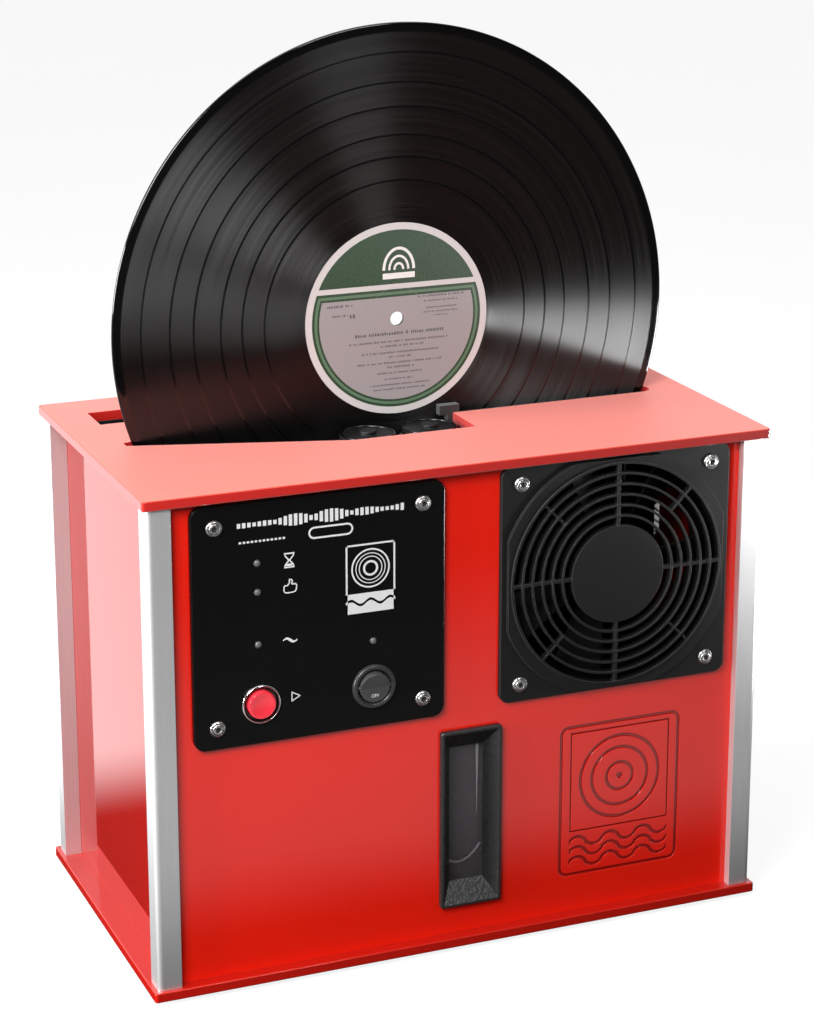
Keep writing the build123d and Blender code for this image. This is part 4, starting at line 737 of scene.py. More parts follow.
@dataclass(frozen=True)
class LabelPaper(Finish):
    """Printed label: pale rim, green upper field, green frame round a pale lower field."""

    green: Colour = (0.009, 0.045, 0.013)
    line: Colour = (0.09, 0.17, 0.10)
    grey: Colour = (0.30, 0.278, 0.282)

    def dress(self, graph: Graph, shader: bpy.types.Node) -> None:
        """Fields from the distance to the middle and the height above it, in metres."""
        point = graph.object_point()
        x, _, z = graph.axes(point)
        up = graph.math("SUBTRACT", z, RECORD_CENTRE[2] / 1000)
        reach = graph.math("SQRT", graph.math("MULTIPLY_ADD", x, x, graph.math("MULTIPLY", up, up)))

        def inside(value: Socket, limit: float) -> Socket:
            """1 where value is under the limit."""
            return graph.math("LESS_THAN", value, limit / 1000)

        def above(limit: float) -> Socket:
            """1 where the height is over the limit."""
            return graph.math("GREATER_THAN", up, limit / 1000)

        fibre = graph.noise(point, 1700.0, 3.0)
        pale = graph.blend(graph.remap(fibre, 0.3, 0.7), self.colour, self.tint(0.93))
        colour = pale
        disc = inside(reach, 46.3)
        top = graph.math("MULTIPLY", disc, above(18.3))
        low = graph.math("MULTIPLY", disc, graph.math("SUBTRACT", 1.0, above(15.6)))
        colour = graph.blend(top, colour, self.green)
        colour = graph.blend(low, colour, self.green)
        for ring, chord, tint in ((44.9, 14.2, self.line), (43.5, 12.8, self.green), (42.4, 11.6, self.grey)):
            below = graph.math("SUBTRACT", 1.0, above(chord))
            colour = graph.blend(graph.math("MULTIPLY", inside(reach, ring), below), colour, tint)
        press = inside(graph.math("ABSOLUTE", graph.math("SUBTRACT", reach, 0.0165)), 0.35)
        colour = graph.cover(colour, (0.25, 0.25, 0.25), press, 0.16)
        colour = graph.blend(graph.remap(fibre, 0.45, 0.9, 0.0, 0.12), colour, (0.9, 0.9, 0.88))
        graph.surface(shader, colour, graph.remap(fibre, 0.2, 0.8, self.rough - 0.08, self.rough + 0.08),
                      graph.bump(fibre, 0.00003, 0.5))


@dataclass(frozen=True)
class SmokyTank(Finish):
    """Smoky reservoir wall with painted light making it lighter towards the top, darker below the water's
    surface and with scale above it.
    """

    water: float = 0.046

    def dress(self, graph: Graph, shader: bpy.types.Node) -> None:
        """Height bands from the place, broken by slow noise."""
        point = graph.object_point()
        _, _, z = graph.axes(point)
        wave = graph.math("MULTIPLY_ADD", graph.noise(point, 24.0, 2.0), 0.004, z)
        wet = graph.remap(wave, self.water + 0.0025, self.water + 0.0015)
        painted_top_light = graph.remap(z, 0.02, 0.12)
        # lighter towards the top: painted light
        colour = graph.blend(painted_top_light, self.colour, self.tint(1.9))
        colour = graph.cover(colour, (0.030, 0.020, 0.024), wet, 0.5)
        scale = graph.math("MULTIPLY", graph.remap(graph.noise(point, 260.0, 4.0), 0.55, 0.75), 0.12)
        colour = graph.blend(scale, colour, (0.35, 0.33, 0.33))
        graph.surface(shader, colour, graph.remap(wet, 0.0, 1.0, self.rough, 0.08),
                      graph.bump(graph.noise(point, 60.0, 2.0), 0.0004, 0.2))


@dataclass(frozen=True)
class ClearPane(Finish):
    """Thin clear sheet: mostly see-through, with gloss and faint wiping marks."""

    share: float = 0.14

    def dress(self, graph: Graph, shader: bpy.types.Node) -> None:
        """Alpha rises where wiping marks and dust lie."""
        marks = Effects.use(graph, "handling", Amount=1.0)
        alpha = graph.math("MULTIPLY_ADD", marks.outputs["Mask"], 0.10, self.share)
        alpha = graph.math("MULTIPLY_ADD", marks.outputs["Dust"], 0.10, alpha, clamp=True)
        tone = graph.blend(marks.outputs["Mask"], self.colour, self.tint(1.3))
        graph.feed(shader.inputs["Base Color"], tone)
        graph.feed(shader.inputs["Alpha"], alpha)
        graph.feed(shader.inputs["Roughness"], graph.remap(marks.outputs["Mask"], 0.0, 1.0, self.rough, 0.2))


@dataclass(frozen=True)
class Board(Finish):
    """Circuit board: green mask over copper runs, with black components behind it."""

    def dress(self, graph: Graph, shader: bpy.types.Node) -> None:
        """Copper runs from two crossed wave patterns; components are told by their depth."""
        point = graph.object_point()
        _, y, _ = graph.axes(point)
        bricks = {"Vector": point, "Scale": 90.0, "Mortar Size": 0.03}
        runs = graph.node("ShaderNodeTexBrick", bricks).outputs["Fac"]
        colour = graph.cover(self.colour, (0.10, 0.34, 0.16), runs, 0.6)
        part = graph.remap(y, -0.0768, -0.0762)
        tone = graph.remap(graph.noise(point, 55.0, 1.0), 0.45, 0.55)
        block = graph.blend(tone, (0.02, 0.02, 0.022), (0.30, 0.16, 0.03))
        graph.surface(shader, graph.blend(part, colour, block), graph.remap(part, 0.0, 1.0, 0.25, 0.5),
                      graph.bump(runs, 0.0001, 0.5))


@dataclass(frozen=True)
class Ink(Finish):
    """Printed or engraved pale mark, also used for the painted highlight and painted reflection behind the
    pane.
    """

    def dress(self, graph: Graph, shader: bpy.types.Node) -> None:
        """Slightly uneven cover, as screen print has."""
        point = graph.object_point()
        ink = graph.remap(graph.noise(point, 2400.0, 3.0), 0.3, 0.7)
        graph.surface(shader, graph.blend(ink, self.tint(0.86), self.colour),
                      graph.remap(ink, 0.0, 1.0, self.rough - 0.06, self.rough + 0.06),
                      graph.bump(ink, 0.00002, 0.4))


RED_PANEL = RedSheet("red_panel", (0.84, 0.014, 0.0045), 0.035, 0.0003, satin=0.05, painted_groove_shade=True)
# top plate: its paler salmon colour is painted light from overhead; its cut colour is painted shade on the
# side faces
RED_TOP = RedSheet("red_top_plate", (0.93, 0.105, 0.055), 0.06, 0.0005, satin=0.55, coat=0.25, sheen=0.38,
                   cut=(0.50, 0.012, 0.008))
# base plate: a darker copy of the red sheet, painted shade low down by the floor
RED_BASE = RedSheet("red_base_plate", (0.50, 0.010, 0.005), 0.05, 0.0005, satin=0.10)
ALUMINIUM = DrawnMetal("post_aluminium", (0.74, 0.74, 0.75), 0.42, 0.0003, metal=0.75)
ZINC = DrawnMetal("zinc_steel", (0.45, 0.45, 0.47), 0.40, 0.0003, lines=(1.0, 0.05, 1.0))
MOTOR_CAN = DrawnMetal("motor_can", (0.58, 0.58, 0.60), 0.34, 0.0004, lines=(1.0, 1.0, 0.05))
TURNED = DrawnMetal("turned_metal", (0.64, 0.64, 0.66), 0.30, 0.0004, lines=(0.05, 0.05, 1.0))
BRASS = DrawnMetal("cut_brass", (0.72, 0.52, 0.22), 0.28, 0.0003, lines=(0.05, 0.05, 1.0))
SCREW = Polished("screw_plating", (0.58, 0.57, 0.56), 0.26, 0.0002)
SOCKET_DARK = Moulded("socket_shadow", (0.012, 0.012, 0.012), 0.7, 0.0002, grain=900.0, wear_and_highlight_share=0.1)
CHROME = Polished("polished_chrome", (0.90, 0.90, 0.91), 0.07, 0.0002)
# start button cap: a little painted glow
BUTTON_RED = Polished("button_red", (0.86, 0.035, 0.055), 0.16, 0.0003, metal=0.0, coat=0.8, painted_glow=0.10)
DARK_TRIM = Polished("dark_trim", (0.06, 0.06, 0.065), 0.16, 0.0002)
LAMP = Polished("lamp_lens", (0.16, 0.155, 0.15), 0.22, 0.0002, metal=0.0, coat=0.5)
BLACK_SHEET = Moulded("black_sheet", (0.0042, 0.0042, 0.0042), 0.30, 0.0003, grain=1100.0, depth=0.00001,
                      worn=(0.05, 0.05, 0.05), wear_and_highlight_share=0.5, mirror=0.12)
GUARD_BLACK = Moulded("guard_plastic", (0.0105, 0.0095, 0.0098), 0.42, 0.0004, grain=1700.0,
                      worn=(0.15, 0.15, 0.15), wear_and_highlight_share=0.75, mirror=0.22)
INNER_BLACK = Moulded("inner_plastic", (0.005, 0.005, 0.005), 0.55, 0.0005, grain=1300.0,
                      worn=(0.02, 0.02, 0.02), mirror=0.08)
SWITCH_GREY = Moulded("switch_plastic", (0.034, 0.034, 0.036), 0.30, 0.0004, grain=2600.0, depth=0.00001,
                      worn=(0.22, 0.22, 0.22), wear_and_highlight_share=0.5)
ROCKER_GREY = Moulded("rocker_plastic", (0.060, 0.060, 0.062), 0.40, 0.0005, grain=1900.0, depth=0.00006,
                      worn=(0.2, 0.2, 0.2), wear_and_highlight_share=0.4)
WINDOW_BLACK = LeatherGrain("window_frame_grain", (0.016, 0.015, 0.016), 0.36, 0.0004)
RUBBER = Moulded("black_rubber", (0.017, 0.017, 0.017), 0.72, 0.0004, grain=800.0, depth=0.00005, sheen=0.25)
TANK_DARK = Moulded("tank_plastic", (0.009, 0.009, 0.010), 0.42, 0.0006, grain=1000.0, mirror=0.25)
DRUM_DARK = Moulded("drum_plastic", (0.008, 0.008, 0.009), 0.38, 0.0005, grain=1400.0, mirror=0.3)
MILKY = Moulded("milky_tube", (0.50, 0.51, 0.52), 0.30, 0.0004, grain=700.0, depth=0.00002,
                worn=(0.7, 0.7, 0.7))
PILE = Woven("microfibre_pile", (0.050, 0.050, 0.056), 0.9, pitch=1200.0, depth=0.0005)
FOAM = Woven("filter_foam", (0.16, 0.16, 0.17), 0.92, pitch=620.0, depth=0.0010)
VINYL = PressedVinyl("pressed_vinyl", (0.0018, 0.0017, 0.0017), 0.32)
LABEL = LabelPaper("label_paper", (0.58, 0.56, 0.55), 0.55)
PRINT_DARK = Ink("label_print", (0.10, 0.10, 0.11), 0.55)
PRINT_PALE = Ink("pale_print", (0.78, 0.78, 0.78), 0.45)
LABEL_PALE = Ink("label_pale_print", (0.80, 0.79, 0.76), 0.55)
RESERVOIR = SmokyTank("smoky_reservoir", (0.032, 0.028, 0.031), 0.30)
PANE = ClearPane("clear_pane", (0.12, 0.11, 0.12), 0.05)
BOARD = Board("circuit_board", (0.02, 0.13, 0.05), 0.3)


# ------------------------------------------------------------------ sub-assemblies
@dataclass
class FrameNodes:
    """Frame nodes that stay as they are and get their finishes here, grouped by finish."""

    groups: tuple[tuple[Finish, str], ...] = (
        (RED_BASE, "base_plate"), (RED_TOP, "top_plate"),
        (BLACK_SHEET, "control_plate"), (PANE, "window_pane"),
        (RED_PANEL, "front_panel rear_panel left_panel right_panel"),
        (ALUMINIUM, "post_front_left post_front_right post_rear_left post_rear_right"),
        (ROCKER_GREY, "power_rocker"), (WINDOW_BLACK, "window_bezel"), (BOARD, "circuit_board"),
        (GUARD_BLACK, "front_fan_guard rear_fan_guard"), (MILKY, "feed_pipe drain_pipe"),
        (INNER_BLACK, "front_fan_frame rear_fan_frame front_fan_impeller rear_fan_impeller filter_frame "
                      "water_pump drain_port mains_inlet"),
        (TANK_DARK, "wash_tank filter_well"), (RUBBER, "feet wiper_blades drive_roller idler_roller"),
        (ZINC, "base_screws idler_axle gear_bracket"), (MOTOR_CAN, "record_motor drum_motor"),
        (BRASS, "drum_pinion inlet_pins"), (TURNED, "ultrasonic_transducer"), (FOAM, "filter_foam"),
        (RESERVOIR, "reservoir"))
    drums: tuple[str, ...] = ("front_left", "front_right", "rear_left", "rear_right")

    def dress(self) -> None:
        """Gives each node's mesh its finish."""
        finishes = {name: finish for finish, names in self.groups for name in names.split()}
        for drum in self.drums:
            finishes[f"{drum}_drum_core"], finishes[f"{drum}_drum_sleeve"] = DRUM_DARK, PILE
        for name, finish in finishes.items():
            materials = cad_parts[name].data.materials
            materials.clear()
            materials.append(finish.material())
        log.info("dressed %d frame nodes", len(finishes))


@dataclass
class SocketScrews:
    """Cup washers with socket screws, one object for each group of four."""

    washer: float = 4.1
    head: float = 2.75
    socket: float = 1.30

    def one(self) -> Shape:
        """A pressed cup washer, the head inside its lip and a six-sided socket.

        The socket's radius is its flat distance divided by the cosine of the angle to the nearest flat.
        """
        wash, head, hex_flat = self.washer, self.head, self.socket

        def six_sided(r: np.ndarray, t: np.ndarray) -> np.ndarray:
            """Keeps round rows and turns the socket's rows into a hexagon."""
            lean = (t + np.pi / 6) % (np.pi / 3) - np.pi / 6
            return np.where((r > 0) & (r < hex_flat + 0.05), r / np.cos(lean), r)

        profile = [(0.0, 0.35), (hex_flat * 0.98, 0.40), (hex_flat, 1.52), (1.55, 1.62), (2.05, 1.60),
                   (2.50, 1.38), (head, 1.02), (head + 0.04, 0.62), (head + 0.22, 0.60), (head + 0.26, 1.02),
                   (head + 0.50, 1.12), (wash - 0.45, 0.92), (wash - 0.12, 0.52), (wash, 0.12), (wash, 0.0),
                   (0.0, 0.0)]
        return revolve(profile, 72, shape_of=six_sided)

    def build(self) -> None:
        """Control plate and both guards."""
        one = self.one()
        hole = revolve([(0.0, 0.30), (self.socket * 0.93, 0.30), (self.socket * 0.93, 0.62), (0.0, 0.62)], 24)
        groups = (("control_plate", front(*CONTROL_CENTRE, CONTROL_FACE), CONTROL_SCREW_PITCH),
                  ("front_guard", front(*GUARD_CENTRE, GUARD_SEAT), GUARD_SCREW_PITCH),
                  ("rear_guard", rear(*GUARD_CENTRE, GUARD_SEAT), GUARD_SCREW_PITCH))
        for name, place, (across, up) in groups:
            spots = [(side * across / 2, level * up / 2) for side in (-1, 1) for level in (-1, 1)]
            shape = Shape.joined(one.moved(u, v) for u, v in spots)
            make_piece(f"{name}_cup_screws", shape, place, SCREW, replaces=[f"{name}_screws"])
            # dark discs at the bottom of the sockets: painted shade
            dark = Shape.joined(hole.moved(u, v) for u, v in spots)
            make_piece(f"{name}_screw_sockets", dark, place, SOCKET_DARK)


@dataclass
class StartButton:
    """Chrome-rimmed push button: rim and dark well on the case, dished red cap on its own body."""

    u: float = -31.3
    v: float = -40.6
    rim: float = 10.0
    well: float = 8.9
    cap: float = 7.1

    def build(self) -> None:
        """Rim, well and cap."""
        x, z = CONTROL_CENTRE[0] + self.u, CONTROL_CENTRE[1] + self.v
        place = front(x, z, CONTROL_FACE)
        lip = [(self.well, 0.0), (self.rim - 0.05, 0.0), (self.rim, 0.5), (self.rim - 0.18, 1.5),
               (self.rim - 0.55, 1.85), (self.well + 0.25, 1.9), (self.well, 1.6)]
        make_piece("start_button_rim", revolve(lip, 128, closed=True), place, CHROME,
                   replaces=["start_button_bezel"])
        well = [(self.well - 0.02, 1.55), (self.well - 0.02, -0.2), (7.5, -0.6), (7.5, -8.0), (0.0, -8.0),
                (0.0, -9.0), (7.95, -9.0), (7.95, -0.9), (self.well - 0.01, -0.6)]
        make_piece("start_button_well", revolve(well, 96), place, SWITCH_GREY)
        cap = [(0.0, 2.55), (2.4, 2.62), (4.4, 2.84), (5.5, 3.08), (6.2, 3.20), (6.75, 3.02), (self.cap, 2.4),
               (self.cap, -1.5), (3.9, -1.6), (3.9, -6.0), (0.0, -6.0)]
        make_piece("start_button_dish", revolve(cap, 128), place, BUTTON_RED, body="start_cap",
                   replaces=["start_button_cap"])


@dataclass
class PowerSwitch:
    """Round switch: stepped housing ring on the case, and words on the rocker's two halves."""

    u: float = 27.3
    v: float = -40.2
    ring: float = 11.4
    bore: float = 8.3
    tilt: float = 7.5
    pivot: float = 0.4
    rise: float = 1.6
    letter: float = 2.3

    def build(self) -> None:
        """Housing ring with its well, and the two words."""
        x, z = CONTROL_CENTRE[0] + self.u, CONTROL_CENTRE[1] + self.v
        place = front(x, z, CONTROL_FACE)
        profile = [(self.bore, -6.0), (self.bore, 0.5), (self.bore + 0.35, 1.25), (self.bore + 0.75, 1.7),
                   (self.bore + 1.15, 1.95), (self.ring - 1.15, 2.0), (self.ring - 0.55, 1.75),
                   (self.ring - 0.12, 1.1), (self.ring, 0.3), (self.ring, 0.0), (10.0, -0.05), (10.0, -18.0),
                   (0.0, -18.0), (0.0, -8.9), (self.bore, -8.8)]
        make_piece("power_switch_ring", revolve(profile, 128), place, SWITCH_GREY,
                   replaces=["power_switch_housing"])
        lean = radians(self.tilt)
        flush = self.rise * np.cos(lean) + self.pivot
        self.word("power_switch_off", "OFF", x, z, -4.4, flush, 0.0)
        self.word("power_switch_on", "ON", x, z, 2.2, flush + 2.0 * np.sin(lean) * 2.2, 2 * lean)

    def word(self, name: str, text: str, x: float, z: float, v: float, w: float, lean: float) -> None:
        """One word as thin mesh on a half of the rocker.

        Args:
            name: piece name.
            text: what it says.
            x: switch centre across.
            z: switch centre height.
            v: height of the word's middle above the centre.
            w: how far its face stands before the control plate.
            lean: turn of that half about X, top outwards.
        """
        curve = bpy.data.curves.new(name, "FONT")
        curve.body, curve.size, curve.extrude = text, self.letter, 0.03
        curve.align_x, curve.align_y = "CENTER", "CENTER"
        source = add_object(name + "_source", curve)
        flat = bpy.data.meshes.new_from_object(source.evaluated_get(bpy.context.evaluated_depsgraph_get()))
        bpy.data.objects.remove(source)
        local = np.empty(len(flat.vertices) * 3)
        flat.vertices.foreach_get("co", local)
        local = local.reshape(-1, 3)
        turned = np.column_stack([local[:, 0], local[:, 1] * np.cos(lean) - local[:, 2] * np.sin(lean) + v,
                                  local[:, 1] * np.sin(lean) + local[:, 2] * np.cos(lean) + w + 0.03])
        flat.vertices.foreach_set("co", front(x, z, CONTROL_FACE).world(turned).ravel())
        flat.materials.clear()
        finish_piece(name, flat, PRINT_PALE, "switch_rocker")


@dataclass
class ControlMarks:
    """Pale print on the control plate and its domed lamps: symbols, a level strip and a picture block."""

    lamps: tuple[tuple[float, float], ...] = ((-32.1, 30.7), (-32.1, 16.1), (-32.1, -10.4), (27.1, -16.6))
    symbol_u: float = -15.8
    stroke: float = 0.62

    def hourglass(self) -> Shape:
        """Two facing bulbs between end bars: half-width follows the height's cosine."""
        t = np.linspace(-1, 1, 25)
        side = 0.28 + 2.0 * np.abs(np.sin(t * np.pi / 2)) ** 1.4
        left, right = np.column_stack([-side, t * 3.2]), np.column_stack([side, t * 3.2])
        sand = np.column_stack([np.linspace(-1.5, 1.5, 5), np.full(5, -2.3)])
        return Shape.joined([ribbon(left, self.stroke), ribbon(right, self.stroke),
                             bars(np.array([[-2.6, 2.6, 3.1, 3.8], [-2.6, 2.6, -3.8, -3.1]])),
                             ribbon(sand, 1.1)])

    def raised_thumb(self) -> Shape:
        """Outline of a hand with its thumb up, as a smooth closed loop."""
        loop = [(-3.0, -2.4), (-3.1, 0.4), (-1.5, 0.8), (-0.5, 2.2), (-0.4, 3.5), (0.6, 3.6), (1.0, 2.6),
                (0.7, 1.3), (2.7, 1.2), (3.1, 0.2), (2.9, -1.8), (1.9, -2.7), (-0.8, -2.9)]
        return ribbon(smooth_loop(loop), self.stroke, closed=True)

    def wave(self) -> Shape:
        """One swell of a sine, thin at its ends."""
        t = np.linspace(0, 1, 33)
        line = np.column_stack([(t - 0.5) * 7.4, 0.95 * np.sin(2 * np.pi * t)])
        return ribbon(line, 0.35 + 1.0 * np.sin(np.pi * t))

    def start_mark(self) -> Shape:
        """Triangle that points right, drawn as an outline."""
        t = np.linspace(0, 1, 10, endpoint=False)[:, None]
        a, b, c = np.array([-1.9, 2.3]), np.array([2.3, 0.0]), np.array([-1.9, -2.3])
        loop = np.concatenate([a + (b - a) * t, b + (c - b) * t, c + (a - c) * t])
        return ribbon(loop, self.stroke, closed=True)

    def level_strip(self) -> Shape:
        """Upright bars whose height follows two sines: a strip as tall and as long as a title would be."""
        count = 33
        u = np.linspace(-41.0, 42.4, count)
        half = 0.9 + 2.5 * np.abs(np.sin(u * 0.16 + 0.6) * np.cos(u * 0.047))
        return bars(np.column_stack([u - 0.85, u + 0.85, 50.2 - half, 50.2 + half]))

    def picture_block(self) -> Shape:
        """Framed block: rings above, a filled field with a wave cut out below."""
        left, right, low, high, line = 13.0, 38.7, -1.5, 33.7, 0.9
        border = [[left, right, high - line, high], [left, left + line, low, high],
                  [right - line, right, low, high]]
        middle = (left + right) / 2
        rings = [ribbon(circle_line(r, middle, 21.0), w, closed=True)
                 for r, w in ((9.6, 0.8), (7.6, 0.45), (5.9, 0.45), (3.4, 1.1))]
        t = np.linspace(0, 1, 49)
        crest = 4.0 + 1.3 * np.sin(2 * np.pi * 2.5 * t)
        u = left + (right - left) * t
        fields = [strip(np.column_stack([u, over]), np.column_stack([u, under]))
                  for over, under in ((np.full(49, 8.6), crest + 0.7), (crest - 0.7, np.full(49, low)))]
        return Shape.joined([bars(np.array(border)), *rings, *fields])

    def build(self) -> None:
        """All marks as one print, and the four lamps."""
        place = front(*CONTROL_CENTRE, CONTROL_FACE)
        dots = np.linspace(-41.0, -19.0, 12)
        dotted = bars(np.column_stack([dots, dots + 1.2, np.full(12, 41.2), np.full(12, 42.2)]))
        marks = [self.hourglass().moved(self.symbol_u, 30.2),
                 self.raised_thumb().moved(self.symbol_u + 0.4, 16.8),
                 self.wave().moved(self.symbol_u, -10.2), self.start_mark().moved(-13.4, -39.4),
                 self.level_strip(), self.picture_block(), dotted,
                 ribbon(rounded_outline(22.0, 5.2, 2.6) + np.array([5.5, 42.3]), 0.9, closed=True)]
        make_piece("control_plate_print", Shape.joined(marks), place, PRINT_PALE, sharp=30.0)
        dome = [(0.0, 0.55), (0.55, 0.50), (1.0, 0.36), (1.32, 0.14), (1.42, 0.0), (1.42, -0.5), (0.0, -0.5)]
        rim = [(1.42, -0.3), (1.42, 0.06), (1.60, 0.16), (1.78, 0.06), (1.80, 0.0), (1.80, -0.3)]
        domes = Shape.joined(revolve(dome, 40).moved(u, v) for u, v in self.lamps)
        make_piece("indicator_domes", domes, place, LAMP, replaces=["indicator_leds"])
        rims = Shape.joined(revolve(rim, 40, closed=True).moved(u, v) for u, v in self.lamps)
        make_piece("indicator_rims", rims, place, SWITCH_GREY)


@dataclass
class Record:
    """Pressed record with its labels: a turned body with a groove map, paper discs and blind print."""

    segments: int = 512
    hole: float = 3.63
    label: float = 50.0

    def profile(self) -> np.ndarray:
        """Half profile from hole to rim as (radius, half thickness), then mirrored back to close the ring."""
        inner = [(self.hole, 0.80), (self.hole + 0.3, 0.86), (self.label, 0.86), (self.label + 0.1, 1.0),
                 (self.label + 1.5, 1.0), (self.label + 2.6, 0.88), (self.label + 4.2, 0.76)]
        flat = [(radius, 0.75) for radius in (60.0, 80.0, 100.0, 120.0, 140.0, 146.6)]
        rim = [(147.6, 0.80), (148.6, 0.95), (149.8, 1.0), (150.4, 0.85), (RECORD_RADIUS, 0.40)]
        half = np.array(inner + flat + rim)
        return np.concatenate([half, (half * np.array([1.0, -1.0]))[::-1]])

    def body(self) -> None:
        """The disc: the ring of profile points turned about the record's axis, with its groove map.

        U of the map is the radius over the rim's radius, V the angle over a full turn.
        """
        profile = self.profile()
        shape = revolve(profile, self.segments, closed=True)
        mesh = bpy.data.meshes.new("pressed_record")
        mesh.from_pydata(RECORD_FRONT.world(shape.points).tolist(), [], shape.faces)
        m, n = len(profile), self.segments
        i, j = np.meshgrid(np.arange(m), np.arange(n), indexing="ij")
        share = profile[:, 0] / RECORD_RADIUS
        u = np.stack([share[i], share[i], share[(i + 1) % m], share[(i + 1) % m]], -1)
        v = np.stack([j, j + 1, j + 1, j], -1) / n
        groove = mesh.uv_layers.new(name="groove")
        groove.data.foreach_set("uv", np.stack([u, v], -1).astype(np.float32).ravel())
        finish_piece("pressed_record", mesh, VINYL, "record", 50.0, ["vinyl_record"])

    def labels(self) -> None:
        """Front and rear paper with their print."""
        paper = revolve([(self.hole + 0.05, 0.86), (self.label - 0.1, 0.86), (self.label - 0.1, LABEL_FACE),
                         (self.hole + 0.05, LABEL_FACE)], 192, closed=True)
        flipped = Shape(paper.points * np.array([1, 1, -1]), paper.faces)
        make_piece("label_discs", Shape.joined([paper, flipped]), RECORD_FRONT, LABEL, "record",
                   replaces=["record_labels"])
        for side, spot in (("front", RECORD_FRONT), ("rear", RECORD_REAR)):
            layers = (("print", self.blind_print(), PRINT_DARK), ("mark", self.mark(), LABEL_PALE))
            for name, shape, ink in layers:
                make_piece(f"label_{name}_{side}", shape.moved(w=LABEL_FACE), spot, ink, "record", sharp=30.0)

    def blind_print(self) -> Shape:
        """Rows of small blocks grouped like words: pitch and gaps come from a seeded random draw."""
        draw = np.random.default_rng(11)
        rows = [(-31.0, 9.0, 7.0, 1.25), (-31.0, 4.0, 4.5, 1.0), (-24.2, 3.4, 1.6, 2.3),
                (24.5, 10.6, 13.0, 1.0), (24.5, 8.0, 9.5, 0.75), (24.5, 4.4, 8.5, 0.7),
                (24.5, 2.2, 10.0, 0.7), (24.5, 0.2, 4.0, 0.7), (2.0, -7.5, 25.0, 1.5),
                (1.0, -11.6, 27.5, 0.95), (3.0, -14.0, 12.0, 0.95), (2.0, -17.4, 21.5, 0.95),
                (2.0, -19.8, 6.5, 0.95), (1.5, -22.8, 23.5, 0.95), (2.0, -25.2, 7.5, 0.95),
                (1.5, -28.2, 12.5, 0.8), (1.0, -31.4, 8.0, 0.8), (1.5, -34.4, 16.5, 0.8),
                (1.5, -36.8, 14.5, 0.8)]
        boxes = []
        for middle, high, half, tall in rows:
            widths = draw.uniform(0.35, 0.75, 90) * max(tall, 0.9)
            gaps = np.where(draw.random(90) < 0.17, tall * 1.1, tall * 0.28)
            start = np.cumsum(widths + gaps) - widths - gaps
            keep = start + widths < 2 * half
            heights = tall * draw.uniform(0.75, 1.1, 90)
            left = middle - half + start[keep]
            boxes.append(np.column_stack([left, left + widths[keep], np.full(keep.sum(), high - tall / 2),
                                          high - tall / 2 + heights[keep]]))
        return bars(np.concatenate(boxes), LABEL_PRINT_THICK)

    def mark(self) -> Shape:
        """Generic mark in the green field: three nested arches over a filled bar."""
        t = np.linspace(0, np.pi, 25)
        arches = [ribbon(np.column_stack([1.0 + r * np.cos(t), 25.6 + r * 1.35 * np.sin(t)]), w,
                         thick=LABEL_PRINT_THICK)
                  for r, w in ((8.2, 1.5), (5.2, 1.2), (2.4, 1.2))]
        return Shape.joined([*arches, bars(np.array([[-7.8, 9.8, 21.0, 24.0]]), LABEL_PRINT_THICK)])

    def build(self) -> None:
        """Disc and labels."""
        self.body()
        self.labels()


@dataclass
class DrumTops:
    """Polished trim rings on the scrubbing drums' caps."""

    top: float = 256.0
    radius: float = 13.6
    tube: float = 0.55
    spots: dict[str, tuple[float, float]] = field(default_factory=lambda: {
        "front_left": (-22.5, -13.7), "front_right": (11.5, -13.7), "rear_left": (-22.5, 20.3),
        "rear_right": (11.5, 20.3)})

    def build(self) -> None:
        """One ring per drum: a circle of small radius carried round the cap's rim."""
        t = np.linspace(0, 2 * np.pi, 14, endpoint=False)
        profile = list(zip(self.radius + self.tube * np.cos(t), self.tube * np.sin(t)))
        for name, (x, y) in self.spots.items():
            make_piece(f"{name}_drum_trim", revolve(profile, 96, closed=True),
                       Place(x, y, self.top, Facing.UP), DARK_TRIM, body=f"{name}_drum")


@dataclass
class WaterView:
    """What shows behind the pane: a curved pale line as a painted highlight on the water's edge, and a pale
    strip as a painted reflection.
    """

    depth: float = 78.9
    level: float = 46.0

    def build(self) -> None:
        """Meniscus line, a painted highlight: height follows the square of the distance from the middle."""
        u = np.linspace(-9.0, 9.0, 41)
        line = np.column_stack([u, self.level - WINDOW_CENTRE[1] - 2.6 + 0.06 * (u + 3.0) ** 2])
        place = front(*WINDOW_CENTRE, self.depth)
        # pale curved line on the water's edge: painted highlight
        make_piece("painted_meniscus_highlight", ribbon(line, 0.9 + 0.05 * np.abs(u), thick=0.1), place,
                   Ink("painted_meniscus_highlight", (0.30, 0.28, 0.30), 0.2))
        # pale upright strip behind the pane: painted reflection
        v = np.linspace(-2.0, 36.0, 30)
        strip = np.column_stack([np.full(30, 7.0), v])
        make_piece("painted_reflection_strip", ribbon(strip, 0.15 + 1.5 * ((v + 2.0) / 38.0) ** 1.2, thick=0.1), place,
                   Ink("painted_reflection_strip", (0.42, 0.41, 0.42), 0.2))


